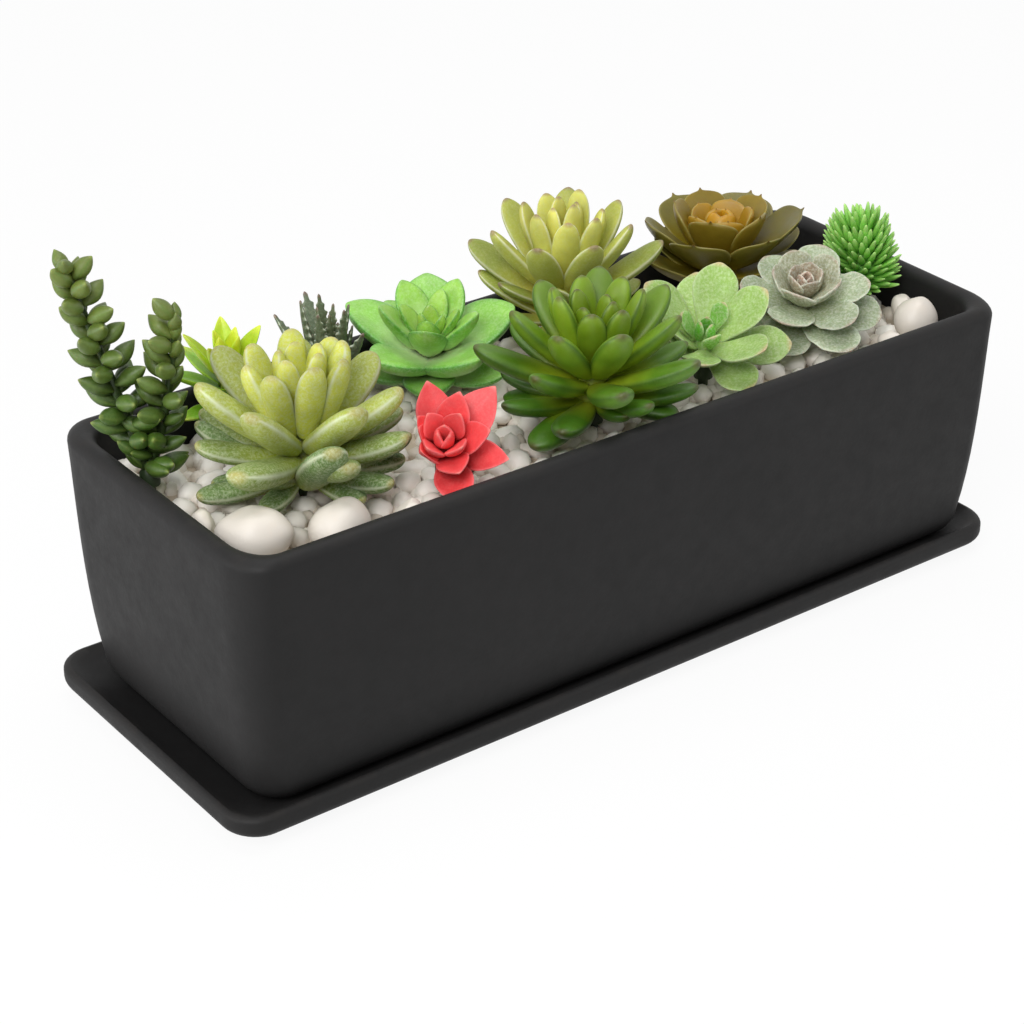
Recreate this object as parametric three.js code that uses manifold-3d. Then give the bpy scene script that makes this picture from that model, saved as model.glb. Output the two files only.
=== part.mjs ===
// A rectangular ceramic planter on its saucer, planted with artificial succulents among white pebbles.
// Millimetres, +Z up. The origin is the middle of the saucer's underside, +X runs along the long side,
// and the front long side faces -Y.
import * as THREE from "three";
import { mergeVertices } from "three/addons/utils/BufferGeometryUtils.js";
import Module from "manifold-3d";

// Saucer: it stands out past the pot by a margin at the ends and along the sides.
const SAUCER_END_MARGIN = 5;
const SAUCER_SIDE_MARGIN = 2.25;
const SAUCER_CORNER = 10;
const SAUCER_FLOOR = 6.5;
const SAUCER_LIP_HEIGHT = 12.4;
const SAUCER_LIP_RADIUS = 4.2;
const SAUCER_LIP_WALL = 9.2;
const SAUCER_INNER_FLARE = 3.4;
const SAUCER_SHOULDER_DROP = 1.2;
const SAUCER_FOOT_INSET = 9;

// Pot
const POT_LENGTH = 305;
const POT_WIDTH = 115;
const POT_HEIGHT = 90.2;
const POT_CORNER = 8.5;
const POT_RIM_ROUNDING = 3.5;
const POT_WALL = 7;
const POT_FLOOR = 8;
const POT_TAPER = 2.2;
const POT_FOOT_TUCK = 3;
const POT_TUCK_POWER = 4;
const POT_FOOT_ROUNDING = 8;
const POT_FOOT_RING = 9;
const POT_FOOT_RECESS = 2;
const POT_OFFSET_ALONG = 1.6;
const POT_OFFSET_ACROSS = -1.3;
const DRAIN_DIAMETER = 14;
const DRAIN_SPACING = 150;

// Filling
const GRAVEL_BELOW_RIM = 11;
const GRAVEL_DEPTH = 14;
const STONE_SINK = 5;

// The small pebbles of the bed lie in staggered rows. Each lies a little off its place, and up to a drop lower than the
// highest ones, and they meet in grooves.
const PEBBLE_SPACING = 10;
const PEBBLE_SWAY = 1.6;
const PEBBLE_DROP = 1.6;
const PEBBLE_GROOVE = 4;
const PEBBLE_SCATTER = { along: 0.618034, across: 0.754878, down: 0.569840 };
const PEBBLE_ROW_NUMBERS = 100;

// Picks that hold the plants
const PICK_DIAMETER = 4;
const PICK_DEPTH = 42;
const PICK_POINT = 7;
const PICK_PEG = 6;
const NECK_WALL = 2.4;
const NECK_CAP = 1;

// Clearances
const SEAT_GAP = 0.3;
const FIT_GAP = 0.3;
const LEAF_GAP = 0.4;
const CUT_MARGIN = 1;

// How finely round shapes are cut
const CORNER_STEPS = 4;
const WALL_SHARES = [0.75, 0.5, 0.25];
const LIP_UNDERSIDE = -0.7;
const ROUNDING_STEPS = 4;
const DRAIN_SIDES = 16;
const PICK_SIDES = 8;
const CROWN_SIDES = 8;
const CROWN_CAP = 1.5;
const CROWN_TAPER = 0.6;
const ROOT_SHARE = 0.7;
const BRANCH_STEPS = 6;
const BRANCH_SIDES = 6;
const BRANCH_TAPER = 0.6;
const STONE_SIDES = 9;
const STONE_RINGS = 6;
const RAISE_STEP = 4;
const RAISE_LIMIT = 88;
const STEEPEST = 86;
const LEAF_SHARES = [[1, 0.9, 0.8, 0.7], [0.6, 0.5, 0.4]];
const LEAST_EDGE = 0.2;
const PROBES = [0.4, 0.6, 0.8, 1];

// Leaf outlines: place along the leaf, share of its width, share of its thickness. The tip follows the last one.
const FINGER = [[0, 0.55, 0.7], [0.5, 1, 1], [0.88, 0.78, 0.8]];
const POINTED = [[0, 0.5, 0.6], [0.5, 1, 1], [0.84, 0.72, 0.75]];
const SPOON = [[0, 0.35, 0.8], [0.55, 0.95, 1], [0.88, 0.75, 0.6]];
const BROAD = [[0, 0.45, 0.8], [0.5, 1, 1], [0.85, 0.78, 0.6]];
const BLADE = [[0, 0.6, 1], [0.5, 0.8, 0.8]];
const PEARL = [[0, 0.35, 0.35], [0.5, 1, 1]];
const NEEDLE = [[0, 0.6, 0.6], [0.5, 1, 1]];

// The plants. along and across are shares of the pot's inner half length and half width, reach is the ground that a
// plant holds against its neighbours, neck is the height of its lowest leaves above the pebbles, and tilt leans the
// crown towards the bearing lean. Each whorl is a moulded layer of leaves: count, bearing of the first leaf, height in
// the crown, pitch above level at the root, curl up to the tip, length from the axis, width and thickness.
const PLANTS = [
  {
    name: "lime_sprout", along: -0.67, across: 0.81, reach: 17, neck: 8, tilt: 0, lean: 0, crown: 4.5, leaf: BLADE,
    color: 0x7fbf1e,
    whorls: [
      { count: 6, bearing: 10, height: 0, pitch: 4, curl: 0, length: 19, width: 4.2, thick: 1.8 },
      { count: 6, bearing: 40, height: 6, pitch: 24, curl: 0, length: 19, width: 4.2, thick: 1.8 },
      { count: 5, bearing: 0, height: 11, pitch: 54, curl: 0, length: 17, width: 3.6, thick: 1.6 },
    ],
  },
  {
    name: "frosted_rosette", along: -0.685, across: -0.09, reach: 38, neck: 4, tilt: 0, lean: 0, crown: 8, leaf: FINGER,
    color: 0x8a9a5b,
    whorls: [
      { count: 9, bearing: 13, height: 0, pitch: 0, curl: 8, length: 42, width: 6.6, thick: 5 },
      { count: 8, bearing: 30, height: 6, pitch: 14, curl: 10, length: 40, width: 6.8, thick: 5 },
      { count: 7, bearing: 8, height: 11, pitch: 36, curl: 8, length: 33, width: 6.4, thick: 4.6 },
      { count: 7, bearing: 24, height: 15, pitch: 66, curl: 6, length: 27, width: 4.8, thick: 3.8 },
      { count: 3, bearing: 0, height: 17, pitch: 81, curl: 3, length: 25, width: 3.8, thick: 3 },
    ],
  },
  {
    name: "toothed_haworthia", along: -0.42, across: 0.78, reach: 18, neck: 4, tilt: 0, lean: 0, crown: 5, leaf: BLADE,
    color: 0x4a4f45,
    whorls: [
      { count: 7, bearing: 0, height: 0, pitch: 34, curl: 8, length: 24, width: 3.6, thick: 2.2 },
      { count: 7, bearing: 25, height: 4, pitch: 54, curl: 6, length: 25, width: 3.4, thick: 2 },
      { count: 5, bearing: 0, height: 7, pitch: 74, curl: 4, length: 24, width: 3, thick: 1.8 },
    ],
  },
  {
    name: "green_echeveria", along: -0.18, across: 0.61, reach: 31, neck: 4, tilt: 12, lean: -127, crown: 6, leaf: BROAD,
    color: 0x6fae3a,
    whorls: [
      { count: 5, bearing: 16, height: 0, pitch: 0, curl: 10, length: 31, width: 12.5, thick: 4.4 },
      { count: 5, bearing: 52, height: 6, pitch: 22, curl: 12, length: 27, width: 11, thick: 4 },
      { count: 5, bearing: 16, height: 11, pitch: 46, curl: 8, length: 19, width: 5, thick: 2.2 },
      { count: 3, bearing: 60, height: 13, pitch: 68, curl: 6, length: 13, width: 3.6, thick: 2 },
    ],
  },
  {
    name: "coral_rosette", along: -0.43, across: -0.55, reach: 18, neck: 9, tilt: 38, lean: -127, crown: 4.5, leaf: BROAD,
    color: 0xe0575c,
    whorls: [
      { count: 6, bearing: 17, height: 0, pitch: 12, curl: 4, length: 22, width: 7, thick: 1.8 },
      { count: 5, bearing: 47, height: 3.5, pitch: 36, curl: 6, length: 16, width: 6, thick: 1.8 },
      { count: 4, bearing: 10, height: 6, pitch: 58, curl: 8, length: 11.5, width: 4.6, thick: 1.8 },
    ],
  },
  {
    name: "pale_rosette", along: 0.21, across: 0.66, reach: 30, neck: 7, tilt: 0, lean: 0, crown: 7, leaf: POINTED,
    color: 0xa9b060,
    whorls: [
      { count: 8, bearing: 0, height: 0, pitch: 8, curl: 10, length: 34, width: 6.4, thick: 3.6 },
      { count: 7, bearing: 22, height: 6, pitch: 26, curl: 10, length: 34, width: 6.4, thick: 3.6 },
      { count: 7, bearing: 0, height: 11, pitch: 48, curl: 8, length: 31, width: 5.8, thick: 3.4 },
      { count: 6, bearing: 25, height: 15, pitch: 70, curl: 6, length: 26, width: 4.6, thick: 3 },
      { count: 3, bearing: 0, height: 17, pitch: 82, curl: 2, length: 24, width: 3.8, thick: 2.6 },
    ],
  },
  {
    name: "green_rosette", along: -0.015, across: -0.49, reach: 34, neck: 8, tilt: 0, lean: 0, crown: 7, leaf: POINTED,
    color: 0x6a8a2a,
    whorls: [
      { count: 8, bearing: -8, height: 0, pitch: 3, curl: 14, length: 36, width: 6.2, thick: 4.2 },
      { count: 8, bearing: 16, height: 6, pitch: 18, curl: 12, length: 37, width: 6.2, thick: 4.2 },
      { count: 7, bearing: -5, height: 11, pitch: 42, curl: 10, length: 31, width: 6, thick: 3.8 },
      { count: 6, bearing: 20, height: 15, pitch: 64, curl: 6, length: 24, width: 4.8, thick: 3.2 },
      { count: 3, bearing: 10, height: 17, pitch: 78, curl: 4, length: 19, width: 3.8, thick: 2.6 },
    ],
  },
  {
    name: "mint_rosette", along: 0.325, across: -0.42, reach: 23, neck: 9, tilt: 24, lean: -127, crown: 5, leaf: SPOON,
    color: 0x9cc47c,
    whorls: [
      { count: 6, bearing: 10, height: 0, pitch: 8, curl: 8, length: 26, width: 8.6, thick: 2.2 },
      { count: 5, bearing: 46, height: 4, pitch: 30, curl: 10, length: 24, width: 8.4, thick: 2.2 },
      { count: 3, bearing: 10, height: 7, pitch: 60, curl: 4, length: 11, width: 3.4, thick: 1.8 },
    ],
  },
  {
    name: "amber_rosette", along: 0.68, across: 0.62, reach: 30, neck: 5, tilt: 0, lean: 0, crown: 7, leaf: BROAD,
    color: 0x5f5a2c,
    whorls: [
      { count: 5, bearing: 0, height: 0, pitch: 12, curl: 30, length: 33, width: 13, thick: 2.6 },
      { count: 5, bearing: 36, height: 5, pitch: 30, curl: 30, length: 29, width: 12, thick: 2.6 },
      { count: 5, bearing: 0, height: 9, pitch: 52, curl: 22, length: 20, width: 8, thick: 2.8 },
      { count: 3, bearing: 30, height: 12, pitch: 70, curl: 22, length: 14, width: 6, thick: 3 },
    ],
  },
  {
    name: "dusty_echeveria", along: 0.665, across: -0.3, reach: 23, neck: 9, tilt: 18, lean: -127, crown: 6, leaf: BROAD,
    color: 0x8f9c88,
    whorls: [
      { count: 6, bearing: 0, height: 0, pitch: 2, curl: 6, length: 23, width: 10.5, thick: 1.8 },
      { count: 5, bearing: 32, height: 3.5, pitch: 14, curl: 8, length: 19, width: 9, thick: 1.8 },
      { count: 5, bearing: 0, height: 7, pitch: 46, curl: 14, length: 12.5, width: 6.5, thick: 1.8 },
    ],
  },
  {
    name: "hedgehog_sedum", along: 0.915, across: -0.13, reach: 15, neck: 6, tilt: 8, lean: 142, crown: 8.5, leaf: NEEDLE,
    color: 0x3f9a35,
    whorls: [
      { count: 8, bearing: 0, height: 1, pitch: 0, curl: 12, length: 9.5, width: 2, thick: 1.3 },
      { count: 8, bearing: 20, height: 5, pitch: 8, curl: 12, length: 9.5, width: 2, thick: 1.3 },
      { count: 8, bearing: 0, height: 9, pitch: 18, curl: 10, length: 9.5, width: 2, thick: 1.3 },
      { count: 8, bearing: 20, height: 13, pitch: 30, curl: 8, length: 9.5, width: 1.9, thick: 1.3 },
      { count: 8, bearing: 0, height: 16.5, pitch: 46, curl: 6, length: 9.5, width: 1.8, thick: 1.2 },
      { count: 5, bearing: 20, height: 19, pitch: 68, curl: 4, length: 9, width: 1.7, thick: 1.2 },
    ],
  },
];

// The trailing sedum has two branches. Each rises from the pick to its tip, given from the root of the branch, and
// carries teardrop leaves on a spiral.
const SEDUM = { name: "trailing_sedum", along: -0.945, across: 0.46, reach: 22, color: 0x5d7a35 };
const SEDUM_NECK = 4;
const SEDUM_BRANCH_RADIUS = 2.2;
const SEDUM_LEAF = { length: 13.5, width: 3.4, thick: 3, pitch: 24, curl: 16 };
const SEDUM_LEAF_STEP = 3.2;
const SEDUM_SPIRAL = 137.5;
const SEDUM_BRANCHES = [
  { tip: [-16, 12, 67], bow: [-1, 4, 8], start: 5 },
  { tip: [10, -4, 50], bow: [3, -3, 4], start: 5 },
];

// Large pebbles, placed as the plants are: half sizes along, across and up, and the bearing of the long side.
const STONES = [
  { name: "corner_pebble", along: -0.905, across: -0.56, size: [13.5, 10.5, 8.5], bearing: -35 },
  { name: "front_pebble", along: -0.745, across: -0.76, size: [11.5, 9.5, 8.3], bearing: 15 },
  { name: "side_pebble", along: -0.95, across: -0.18, size: [5.5, 4.5, 5], bearing: 60 },
  { name: "middle_pebble", along: -0.42, across: 0.16, size: [7, 6, 5.5], bearing: 30 },
  { name: "round_pebble", along: -0.59, across: -0.84, size: [6.5, 5.5, 5.5], bearing: 0 },
  { name: "right_pebble", along: 0.895, across: -0.72, size: [9.5, 8.5, 8.5], bearing: 10 },
  { name: "end_pebble", along: 0.95, across: -0.42, size: [5, 4.5, 5.5], bearing: 40 },
  { name: "small_pebble", along: 0.79, across: -0.8, size: [5.5, 4.5, 5], bearing: -30 },
];

const CERAMIC = { color: 0x2b2a29, roughness: 0.62, metalness: 0 };
const FOAM = { color: 0x6f7a4e, roughness: 0.95, metalness: 0 };
const PEBBLE = { color: 0xe9e2d8, roughness: 0.55, metalness: 0 };
const PICK = { color: 0x3f5a2c, roughness: 0.6, metalness: 0 };
const LEAF_ROUGHNESS = 0.55;

// Heights and inner sizes that follow from the above
const SAUCER_LENGTH = POT_LENGTH + 2 * SAUCER_END_MARGIN;
const SAUCER_WIDTH = POT_WIDTH + 2 * SAUCER_SIDE_MARGIN;
const POT_FOOT_Z = SAUCER_FLOOR + SEAT_GAP;
const RIM_Z = POT_FOOT_Z + POT_HEIGHT;
const FLOOR_Z = POT_FOOT_Z + POT_FLOOR;
const GRAVEL_Z = RIM_Z - GRAVEL_BELOW_RIM;
const FOAM_Z = GRAVEL_Z - GRAVEL_DEPTH;
const PLANT_Z = GRAVEL_Z + SEAT_GAP;
const MOUTH_HALF_LENGTH = POT_LENGTH / 2 - POT_WALL;
const MOUTH_HALF_WIDTH = POT_WIDTH / 2 - POT_WALL;
const PICK_RADIUS = PICK_DIAMETER / 2;
const NECK_RADIUS = PICK_RADIUS + FIT_GAP + NECK_WALL;

const wasm = await Module();
wasm.setup();

const planter = new THREE.Group();
const planting = new THREE.Group();
planting.position.set(POT_OFFSET_ALONG, POT_OFFSET_ACROSS, 0);
planter.add(planting);

function solidOf(geometry) {
  const bare = geometry.clone();
  bare.deleteAttribute("normal");
  bare.deleteAttribute("uv");
  const merged = mergeVertices(bare);
  const vertProperties = new Float32Array(merged.attributes.position.array);
  const triVerts = new Uint32Array(merged.index.array);
  return new wasm.Manifold(new wasm.Mesh({ numProp: 3, vertProperties, triVerts }));
}

function geometryOf(solid) {
  const mesh = solid.getMesh();
  const geometry = new THREE.BufferGeometry();
  geometry.setAttribute("position", new THREE.BufferAttribute(new Float32Array(mesh.vertProperties), 3));
  geometry.setIndex(new THREE.BufferAttribute(new Uint32Array(mesh.triVerts), 1));
  geometry.computeVertexNormals();
  return geometry;
}

function addPiece(group, name, geometry, finish) {
  const mesh = new THREE.Mesh(geometry, new THREE.MeshStandardMaterial(finish));
  mesh.name = name;
  group.add(mesh);
}

// A closed body through a row of rings that all have as many points, with a flat cap or a point at each end.
function loft(rings) {
  const sides = rings[0].length;
  const points = rings.flat();
  const faces = [];
  const first = points.length;
  points.push(centreOf(rings[0]), centreOf(rings.at(-1)));
  const last = (rings.length - 1) * sides;
  for (let i = 0; i < sides; i++) {
    const j = (i + 1) % sides;
    faces.push(first, j, i, first + 1, last + i, last + j);
    for (let k = 0; k < last; k += sides) faces.push(k + i, k + j, k + sides + j, k + i, k + sides + j, k + sides + i);
  }
  return bufferOf(points, faces);
}

// A leaf closes in its tip, so its last ring runs to one point.
function leafBody(rings, tip) {
  const sides = rings[0].length;
  const points = [...rings.flat(), tip];
  const tipIndex = points.length - 1;
  const last = (rings.length - 1) * sides;
  const faces = [];
  for (let i = 1; i < sides - 1; i++) faces.push(0, i + 1, i);
  for (let i = 0; i < sides; i++) {
    const j = (i + 1) % sides;
    faces.push(last + i, last + j, tipIndex);
    for (let k = 0; k < last; k += sides) faces.push(k + i, k + j, k + sides + j, k + i, k + sides + j, k + sides + i);
  }
  return bufferOf(points, faces);
}

function centreOf(ring) {
  const sum = ring.reduce((total, point) => total.add(point), new THREE.Vector3());
  return sum.divideScalar(ring.length);
}

function bufferOf(points, faces) {
  const geometry = new THREE.BufferGeometry();
  geometry.setFromPoints(points);
  geometry.setIndex(faces);
  return geometry;
}

// A rectangle with round corners, anticlockwise from above.
function roundedRing(halfLength, halfWidth, radius, z) {
  const ring = [];
  for (let corner = 0; corner < 4; corner++) {
    const right = corner === 0 || corner === 3 ? 1 : -1;
    const back = corner < 2 ? 1 : -1;
    for (let step = 0; step <= CORNER_STEPS; step++) {
      const angle = (corner + step / CORNER_STEPS) * (Math.PI / 2);
      const x = right * (halfLength - radius) + radius * Math.cos(angle);
      const y = back * (halfWidth - radius) + radius * Math.sin(angle);
      ring.push(new THREE.Vector3(x, y, z));
    }
  }
  return ring;
}

// A profile is a row of insets from an outline and heights. Its corners keep their radius.
function profileLoft(length, width, corner, profile) {
  return loft(profile.map(([inset, z]) => roundedRing(length / 2 - inset, width / 2 - inset, corner, z)));
}

// Points of an arc in a profile, from one angle to another in quarter turns.
function arc(inset, z, radius, from, to) {
  return Array.from({ length: ROUNDING_STEPS + 1 }, (_, step) => {
    const angle = (from + ((to - from) * step) / ROUNDING_STEPS) * (Math.PI / 2);
    return [inset - radius * Math.cos(angle), z + radius * Math.sin(angle)];
  });
}

// How far the pot's outer wall stands in from the rim at a height.
function wallInset(z) {
  const down = (RIM_Z - z) / POT_HEIGHT;
  return POT_TAPER * down + POT_FOOT_TUCK * down ** POT_TUCK_POWER;
}

function cylinderAt(x, y, bottom, top, radius, sides) {
  const geometry = new THREE.CylinderGeometry(radius, radius, top - bottom, sides);
  geometry.rotateX(Math.PI / 2);
  geometry.translate(x, y, (bottom + top) / 2);
  return solidOf(geometry);
}

function makeSaucer() {
  const lipZ = SAUCER_LIP_HEIGHT - SAUCER_LIP_RADIUS;
  const profile = [
    [SAUCER_FOOT_INSET, 0],
    ...arc(SAUCER_LIP_RADIUS, lipZ, SAUCER_LIP_RADIUS, LIP_UNDERSIDE, 1),
    [SAUCER_LIP_WALL - SAUCER_INNER_FLARE, SAUCER_LIP_HEIGHT - SAUCER_SHOULDER_DROP],
    [SAUCER_LIP_WALL, SAUCER_FLOOR],
  ];
  return profileLoft(SAUCER_LENGTH, SAUCER_WIDTH, SAUCER_CORNER, profile);
}

function potProfile() {
  const footZ = POT_FOOT_Z + POT_FOOT_ROUNDING;
  const footInset = wallInset(footZ) + POT_FOOT_ROUNDING;
  const topZ = RIM_Z - POT_RIM_ROUNDING;
  const ringInset = footInset + POT_FOOT_RING;
  const floorInset = wallInset(FLOOR_Z) + POT_WALL;
  const wall = WALL_SHARES.map((share) => {
    const z = topZ - share * (topZ - footZ);
    return [wallInset(z), z];
  });
  return [
    [ringInset, POT_FOOT_Z + POT_FOOT_RECESS],
    [ringInset, POT_FOOT_Z],
    ...arc(footInset, footZ, POT_FOOT_ROUNDING, -1, 0),
    ...wall,
    ...arc(POT_RIM_ROUNDING, topZ, POT_RIM_ROUNDING, 0, 1),
    ...arc(POT_WALL - POT_RIM_ROUNDING, topZ, POT_RIM_ROUNDING, 1, 2).slice(1),
    [floorInset, FLOOR_Z],
  ];
}

function makePot() {
  let pot = solidOf(profileLoft(POT_LENGTH, POT_WIDTH, POT_CORNER, potProfile()));
  for (const side of [-1, 1]) {
    const x = (side * DRAIN_SPACING) / 2;
    pot = pot.subtract(cylinderAt(x, 0, 0, FLOOR_Z + CUT_MARGIN, DRAIN_DIAMETER / 2, DRAIN_SIDES));
  }
  return geometryOf(pot);
}

// How far the pot's inner wall stands in from the rim's outline at a height.
function innerInset(z) {
  const topZ = RIM_Z - POT_RIM_ROUNDING;
  const down = (topZ - z) / (topZ - FLOOR_Z);
  return POT_WALL + down * wallInset(FLOOR_Z);
}

// A filling that stands against the pot's inner wall between two heights.
function filling(bottom, top) {
  const profile = [bottom, top].map((z) => [innerInset(z) + FIT_GAP, z]);
  return solidOf(profileLoft(POT_LENGTH, POT_WIDTH, POT_CORNER, profile));
}

function placeOf(thing) {
  return new THREE.Vector2(thing.along * MOUTH_HALF_LENGTH, thing.across * MOUTH_HALF_WIDTH);
}

function pickHoles(solid, bottom, top) {
  return [...PLANTS, SEDUM].reduce((left, plant) => {
    const place = placeOf(plant);
    return left.subtract(cylinderAt(place.x, place.y, bottom, top, PICK_RADIUS + FIT_GAP, PICK_SIDES));
  }, solid);
}

function stoneGeometry(stone, extra) {
  const place = placeOf(stone);
  const geometry = new THREE.SphereGeometry(1, STONE_SIDES, STONE_RINGS);
  geometry.rotateX(Math.PI / 2);
  geometry.scale(...stone.size.map((half) => half + extra));
  geometry.rotateZ(THREE.MathUtils.degToRad(stone.bearing));
  geometry.translate(place.x, place.y, stoneZ(stone));
  return geometry;
}

// A large pebble lies a little sunk in the bed and stays under the rim.
function stoneZ(stone) {
  return GRAVEL_Z + stone.size[2] - STONE_SINK;
}

// A share from 0 to 1 that differs from pebble to pebble.
function scatter(row, column, way) {
  const number = (row + PEBBLE_ROW_NUMBERS / 2) * PEBBLE_ROW_NUMBERS + column + PEBBLE_ROW_NUMBERS / 2;
  return (number * number * PEBBLE_SCATTER[way]) % 1;
}

// Highest point of a small pebble.
function pebbleTop([row, column]) {
  const x = (column + Math.abs(row % 2) / 2) * PEBBLE_SPACING;
  const y = row * PEBBLE_SPACING * Math.sin(Math.PI / 3);
  return new THREE.Vector3(
    x + PEBBLE_SWAY * (2 * scatter(row, column, "along") - 1),
    y + PEBBLE_SWAY * (2 * scatter(row, column, "across") - 1),
    GRAVEL_Z - PEBBLE_DROP * scatter(row, column, "down"),
  );
}

// The six pebbles round a pebble, anticlockwise from the one on its right.
function neighbours([row, column]) {
  const shift = Math.abs(row % 2);
  return [
    [row, column + 1], [row + 1, column + shift], [row + 1, column + shift - 1],
    [row, column - 1], [row - 1, column + shift - 1], [row - 1, column + shift],
  ];
}

// A slab wider than the pot with a cobbled top: each pebble falls from its top to the grooves round it.
function cobbles() {
  const grooveZ = GRAVEL_Z - PEBBLE_GROOVE;
  const bottom = FOAM_Z - CUT_MARGIN;
  const rows = Math.ceil(MOUTH_HALF_WIDTH / (PEBBLE_SPACING * Math.sin(Math.PI / 3))) + 1;
  const columns = Math.ceil(MOUTH_HALF_LENGTH / PEBBLE_SPACING) + 1;
  const points = [];
  const faces = [];
  const grooves = new Map();
  const edges = new Map();

  // A groove's corner lies between three pebbles, with a corner of the slab's underside below it.
  function grooveCorner(pebbles) {
    const key = pebbles.map(String).sort().join(" ");
    if (!grooves.has(key)) {
      const { x, y } = centreOf(pebbles.map(pebbleTop));
      grooves.set(key, points.length);
      points.push(new THREE.Vector3(x, y, grooveZ), new THREE.Vector3(x, y, bottom));
    }
    return grooves.get(key);
  }

  function addPebble(pebble) {
    const around = neighbours(pebble);
    const corners = around.map((other, i) => grooveCorner([pebble, other, around[(i + 1) % around.length]]));
    const summit = points.push(pebbleTop(pebble)) - 1;
    corners.forEach((corner, i) => {
      const next = corners[(i + 1) % corners.length];
      const edge = [corner, next].sort().join(" ");
      edges.set(edge, edges.has(edge) ? null : [corner, next]);
      faces.push(summit, corner, next);
      if (i > 0 && i < corners.length - 1) faces.push(corners[0] + 1, next + 1, corner + 1);
    });
  }

  for (let row = -rows; row <= rows; row++) {
    for (let column = -columns; column <= columns; column++) addPebble([row, column]);
  }
  for (const [from, to] of [...edges.values()].filter(Boolean)) faces.push(from, from + 1, to + 1, from, to + 1, to);
  return solidOf(bufferOf(points, faces));
}

function makeGravel() {
  const slab = filling(FOAM_Z + SEAT_GAP, GRAVEL_Z).intersect(cobbles());
  const bed = pickHoles(slab, FOAM_Z, GRAVEL_Z + CUT_MARGIN);
  return STONES.reduce((left, stone) => left.subtract(solidOf(stoneGeometry(stone, FIT_GAP))), bed);
}

function makeFoam() {
  const bottom = PLANT_Z - PICK_DEPTH - FIT_GAP;
  return pickHoles(filling(FLOOR_Z + SEAT_GAP, FOAM_Z), bottom, FOAM_Z + CUT_MARGIN);
}

// A pick: a pointed rod from the foam up into the socket under the crown.
function makePick(place) {
  const bottom = PLANT_Z - PICK_DEPTH;
  const top = PLANT_Z + PICK_PEG;
  const outline = [[0, bottom], [PICK_RADIUS, bottom + PICK_POINT], [PICK_RADIUS, top], [0, top]];
  return turned(outline, PICK_SIDES).translate(place.x, place.y, 0);
}

// True where a point of a plant is clear of its neighbours' ground, the pebbles and the pot's rim.
function isClear(point, plant) {
  const home = placeOf(plant);
  const offset = new THREE.Vector2(point.x - home.x, point.y - home.y);
  for (const other of [...PLANTS, SEDUM]) {
    if (other === plant) continue;
    const towards = placeOf(other).sub(home);
    const distance = towards.length();
    const line = (distance ** 2 + plant.reach ** 2 - other.reach ** 2) / (2 * distance);
    if (offset.dot(towards) / distance > line - LEAF_GAP) return false;
  }
  const overRim =
    Math.abs(point.x) > MOUTH_HALF_LENGTH - LEAF_GAP - POT_TAPER ||
    Math.abs(point.y) > MOUTH_HALF_WIDTH - LEAF_GAP - POT_TAPER;
  if (point.z < (overRim ? RIM_Z : GRAVEL_Z) + LEAF_GAP) return false;
  return STONES.every((stone) => {
    const away = placeOf(stone).distanceTo(point);
    const top = stoneZ(stone) + stone.size[2];
    return away > Math.max(stone.size[0], stone.size[1]) + LEAF_GAP || point.z > top + LEAF_GAP;
  });
}

// The points of one leaf on an upright axis: rings of four points, edge, upper face, edge, keel, and the tip.
function leafRings(outline, leaf, bearing, pitch, length, root) {
  const turn = THREE.MathUtils.degToRad(bearing);
  const outward = new THREE.Vector3(Math.cos(turn), Math.sin(turn), 0);
  const side = new THREE.Vector3(-Math.sin(turn), Math.cos(turn), 0);
  const up = new THREE.Vector3(0, 0, 1);
  const spot = root.clone();
  const rings = [];
  let reached = 0;
  for (const [place, wide, deep] of [...outline, [1, 0, 0]]) {
    const middle = (reached + place) / 2;
    const slope = THREE.MathUtils.degToRad(pitch + leaf.curl * middle);
    const run = (place - reached) * length;
    spot.addScaledVector(outward, run * Math.cos(slope)).addScaledVector(up, run * Math.sin(slope));
    reached = place;
    const face = outward.clone().multiplyScalar(-Math.sin(slope)).addScaledVector(up, Math.cos(slope));
    const across = side.clone().multiplyScalar(wide * leaf.width);
    const depth = face.clone().multiplyScalar(deep * leaf.thick);
    rings.push([spot.clone().sub(across), spot.clone().sub(depth), spot.clone().add(across), spot.clone().add(depth)]);
  }
  const tip = rings.pop()[0];
  return { rings, tip };
}

// Points down each edge of a leaf past its root, where it is tested for room.
function probesAlong(rings) {
  return rings.slice(1).flatMap((ring, k) =>
    ring.flatMap((point, i) => PROBES.map((share) => rings[k][i].clone().lerp(point, share))),
  );
}

// A crowded leaf is a little smaller or stands up until it is clear of what is round it, and where there is no room
// at all it is left out.
function placeLeaf(outline, leaf, bearing, root, settle, plant) {
  for (const shares of LEAF_SHARES) {
    for (let raise = 0; raise <= RAISE_LIMIT; raise += RAISE_STEP) {
      const pitch = Math.min(leaf.pitch + raise, Math.max(leaf.pitch, STEEPEST));
      for (const share of shares) {
        const sized = { curl: leaf.curl, width: leaf.width * share, thick: leaf.thick * share };
        const { rings, tip } = leafRings(outline, sized, bearing, pitch, leaf.length * share, root);
        const probes = probesAlong([...rings, rings[0].map(() => tip)]).map(settle);
        if (probes.every((point) => isClear(point, plant))) return [leafBody(rings, tip)];
      }
    }
  }
  return [];
}

// Leaves that close over one another can shut in a pocket of air: only the outer surface is kept, so it is filled.
function joined(bodies) {
  const shells = wasm.Manifold.union(bodies).simplify(LEAST_EDGE).decompose();
  return shells.reduce((widest, shell) => (shell.volume() > widest.volume() ? shell : widest));
}

// The head's neck takes the pick's peg in a socket.
function withSocket(solid, place) {
  const top = PLANT_Z + PICK_PEG + FIT_GAP;
  return solid.subtract(cylinderAt(place.x, place.y, PLANT_Z - CUT_MARGIN, top, PICK_RADIUS + FIT_GAP, PICK_SIDES));
}

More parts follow.
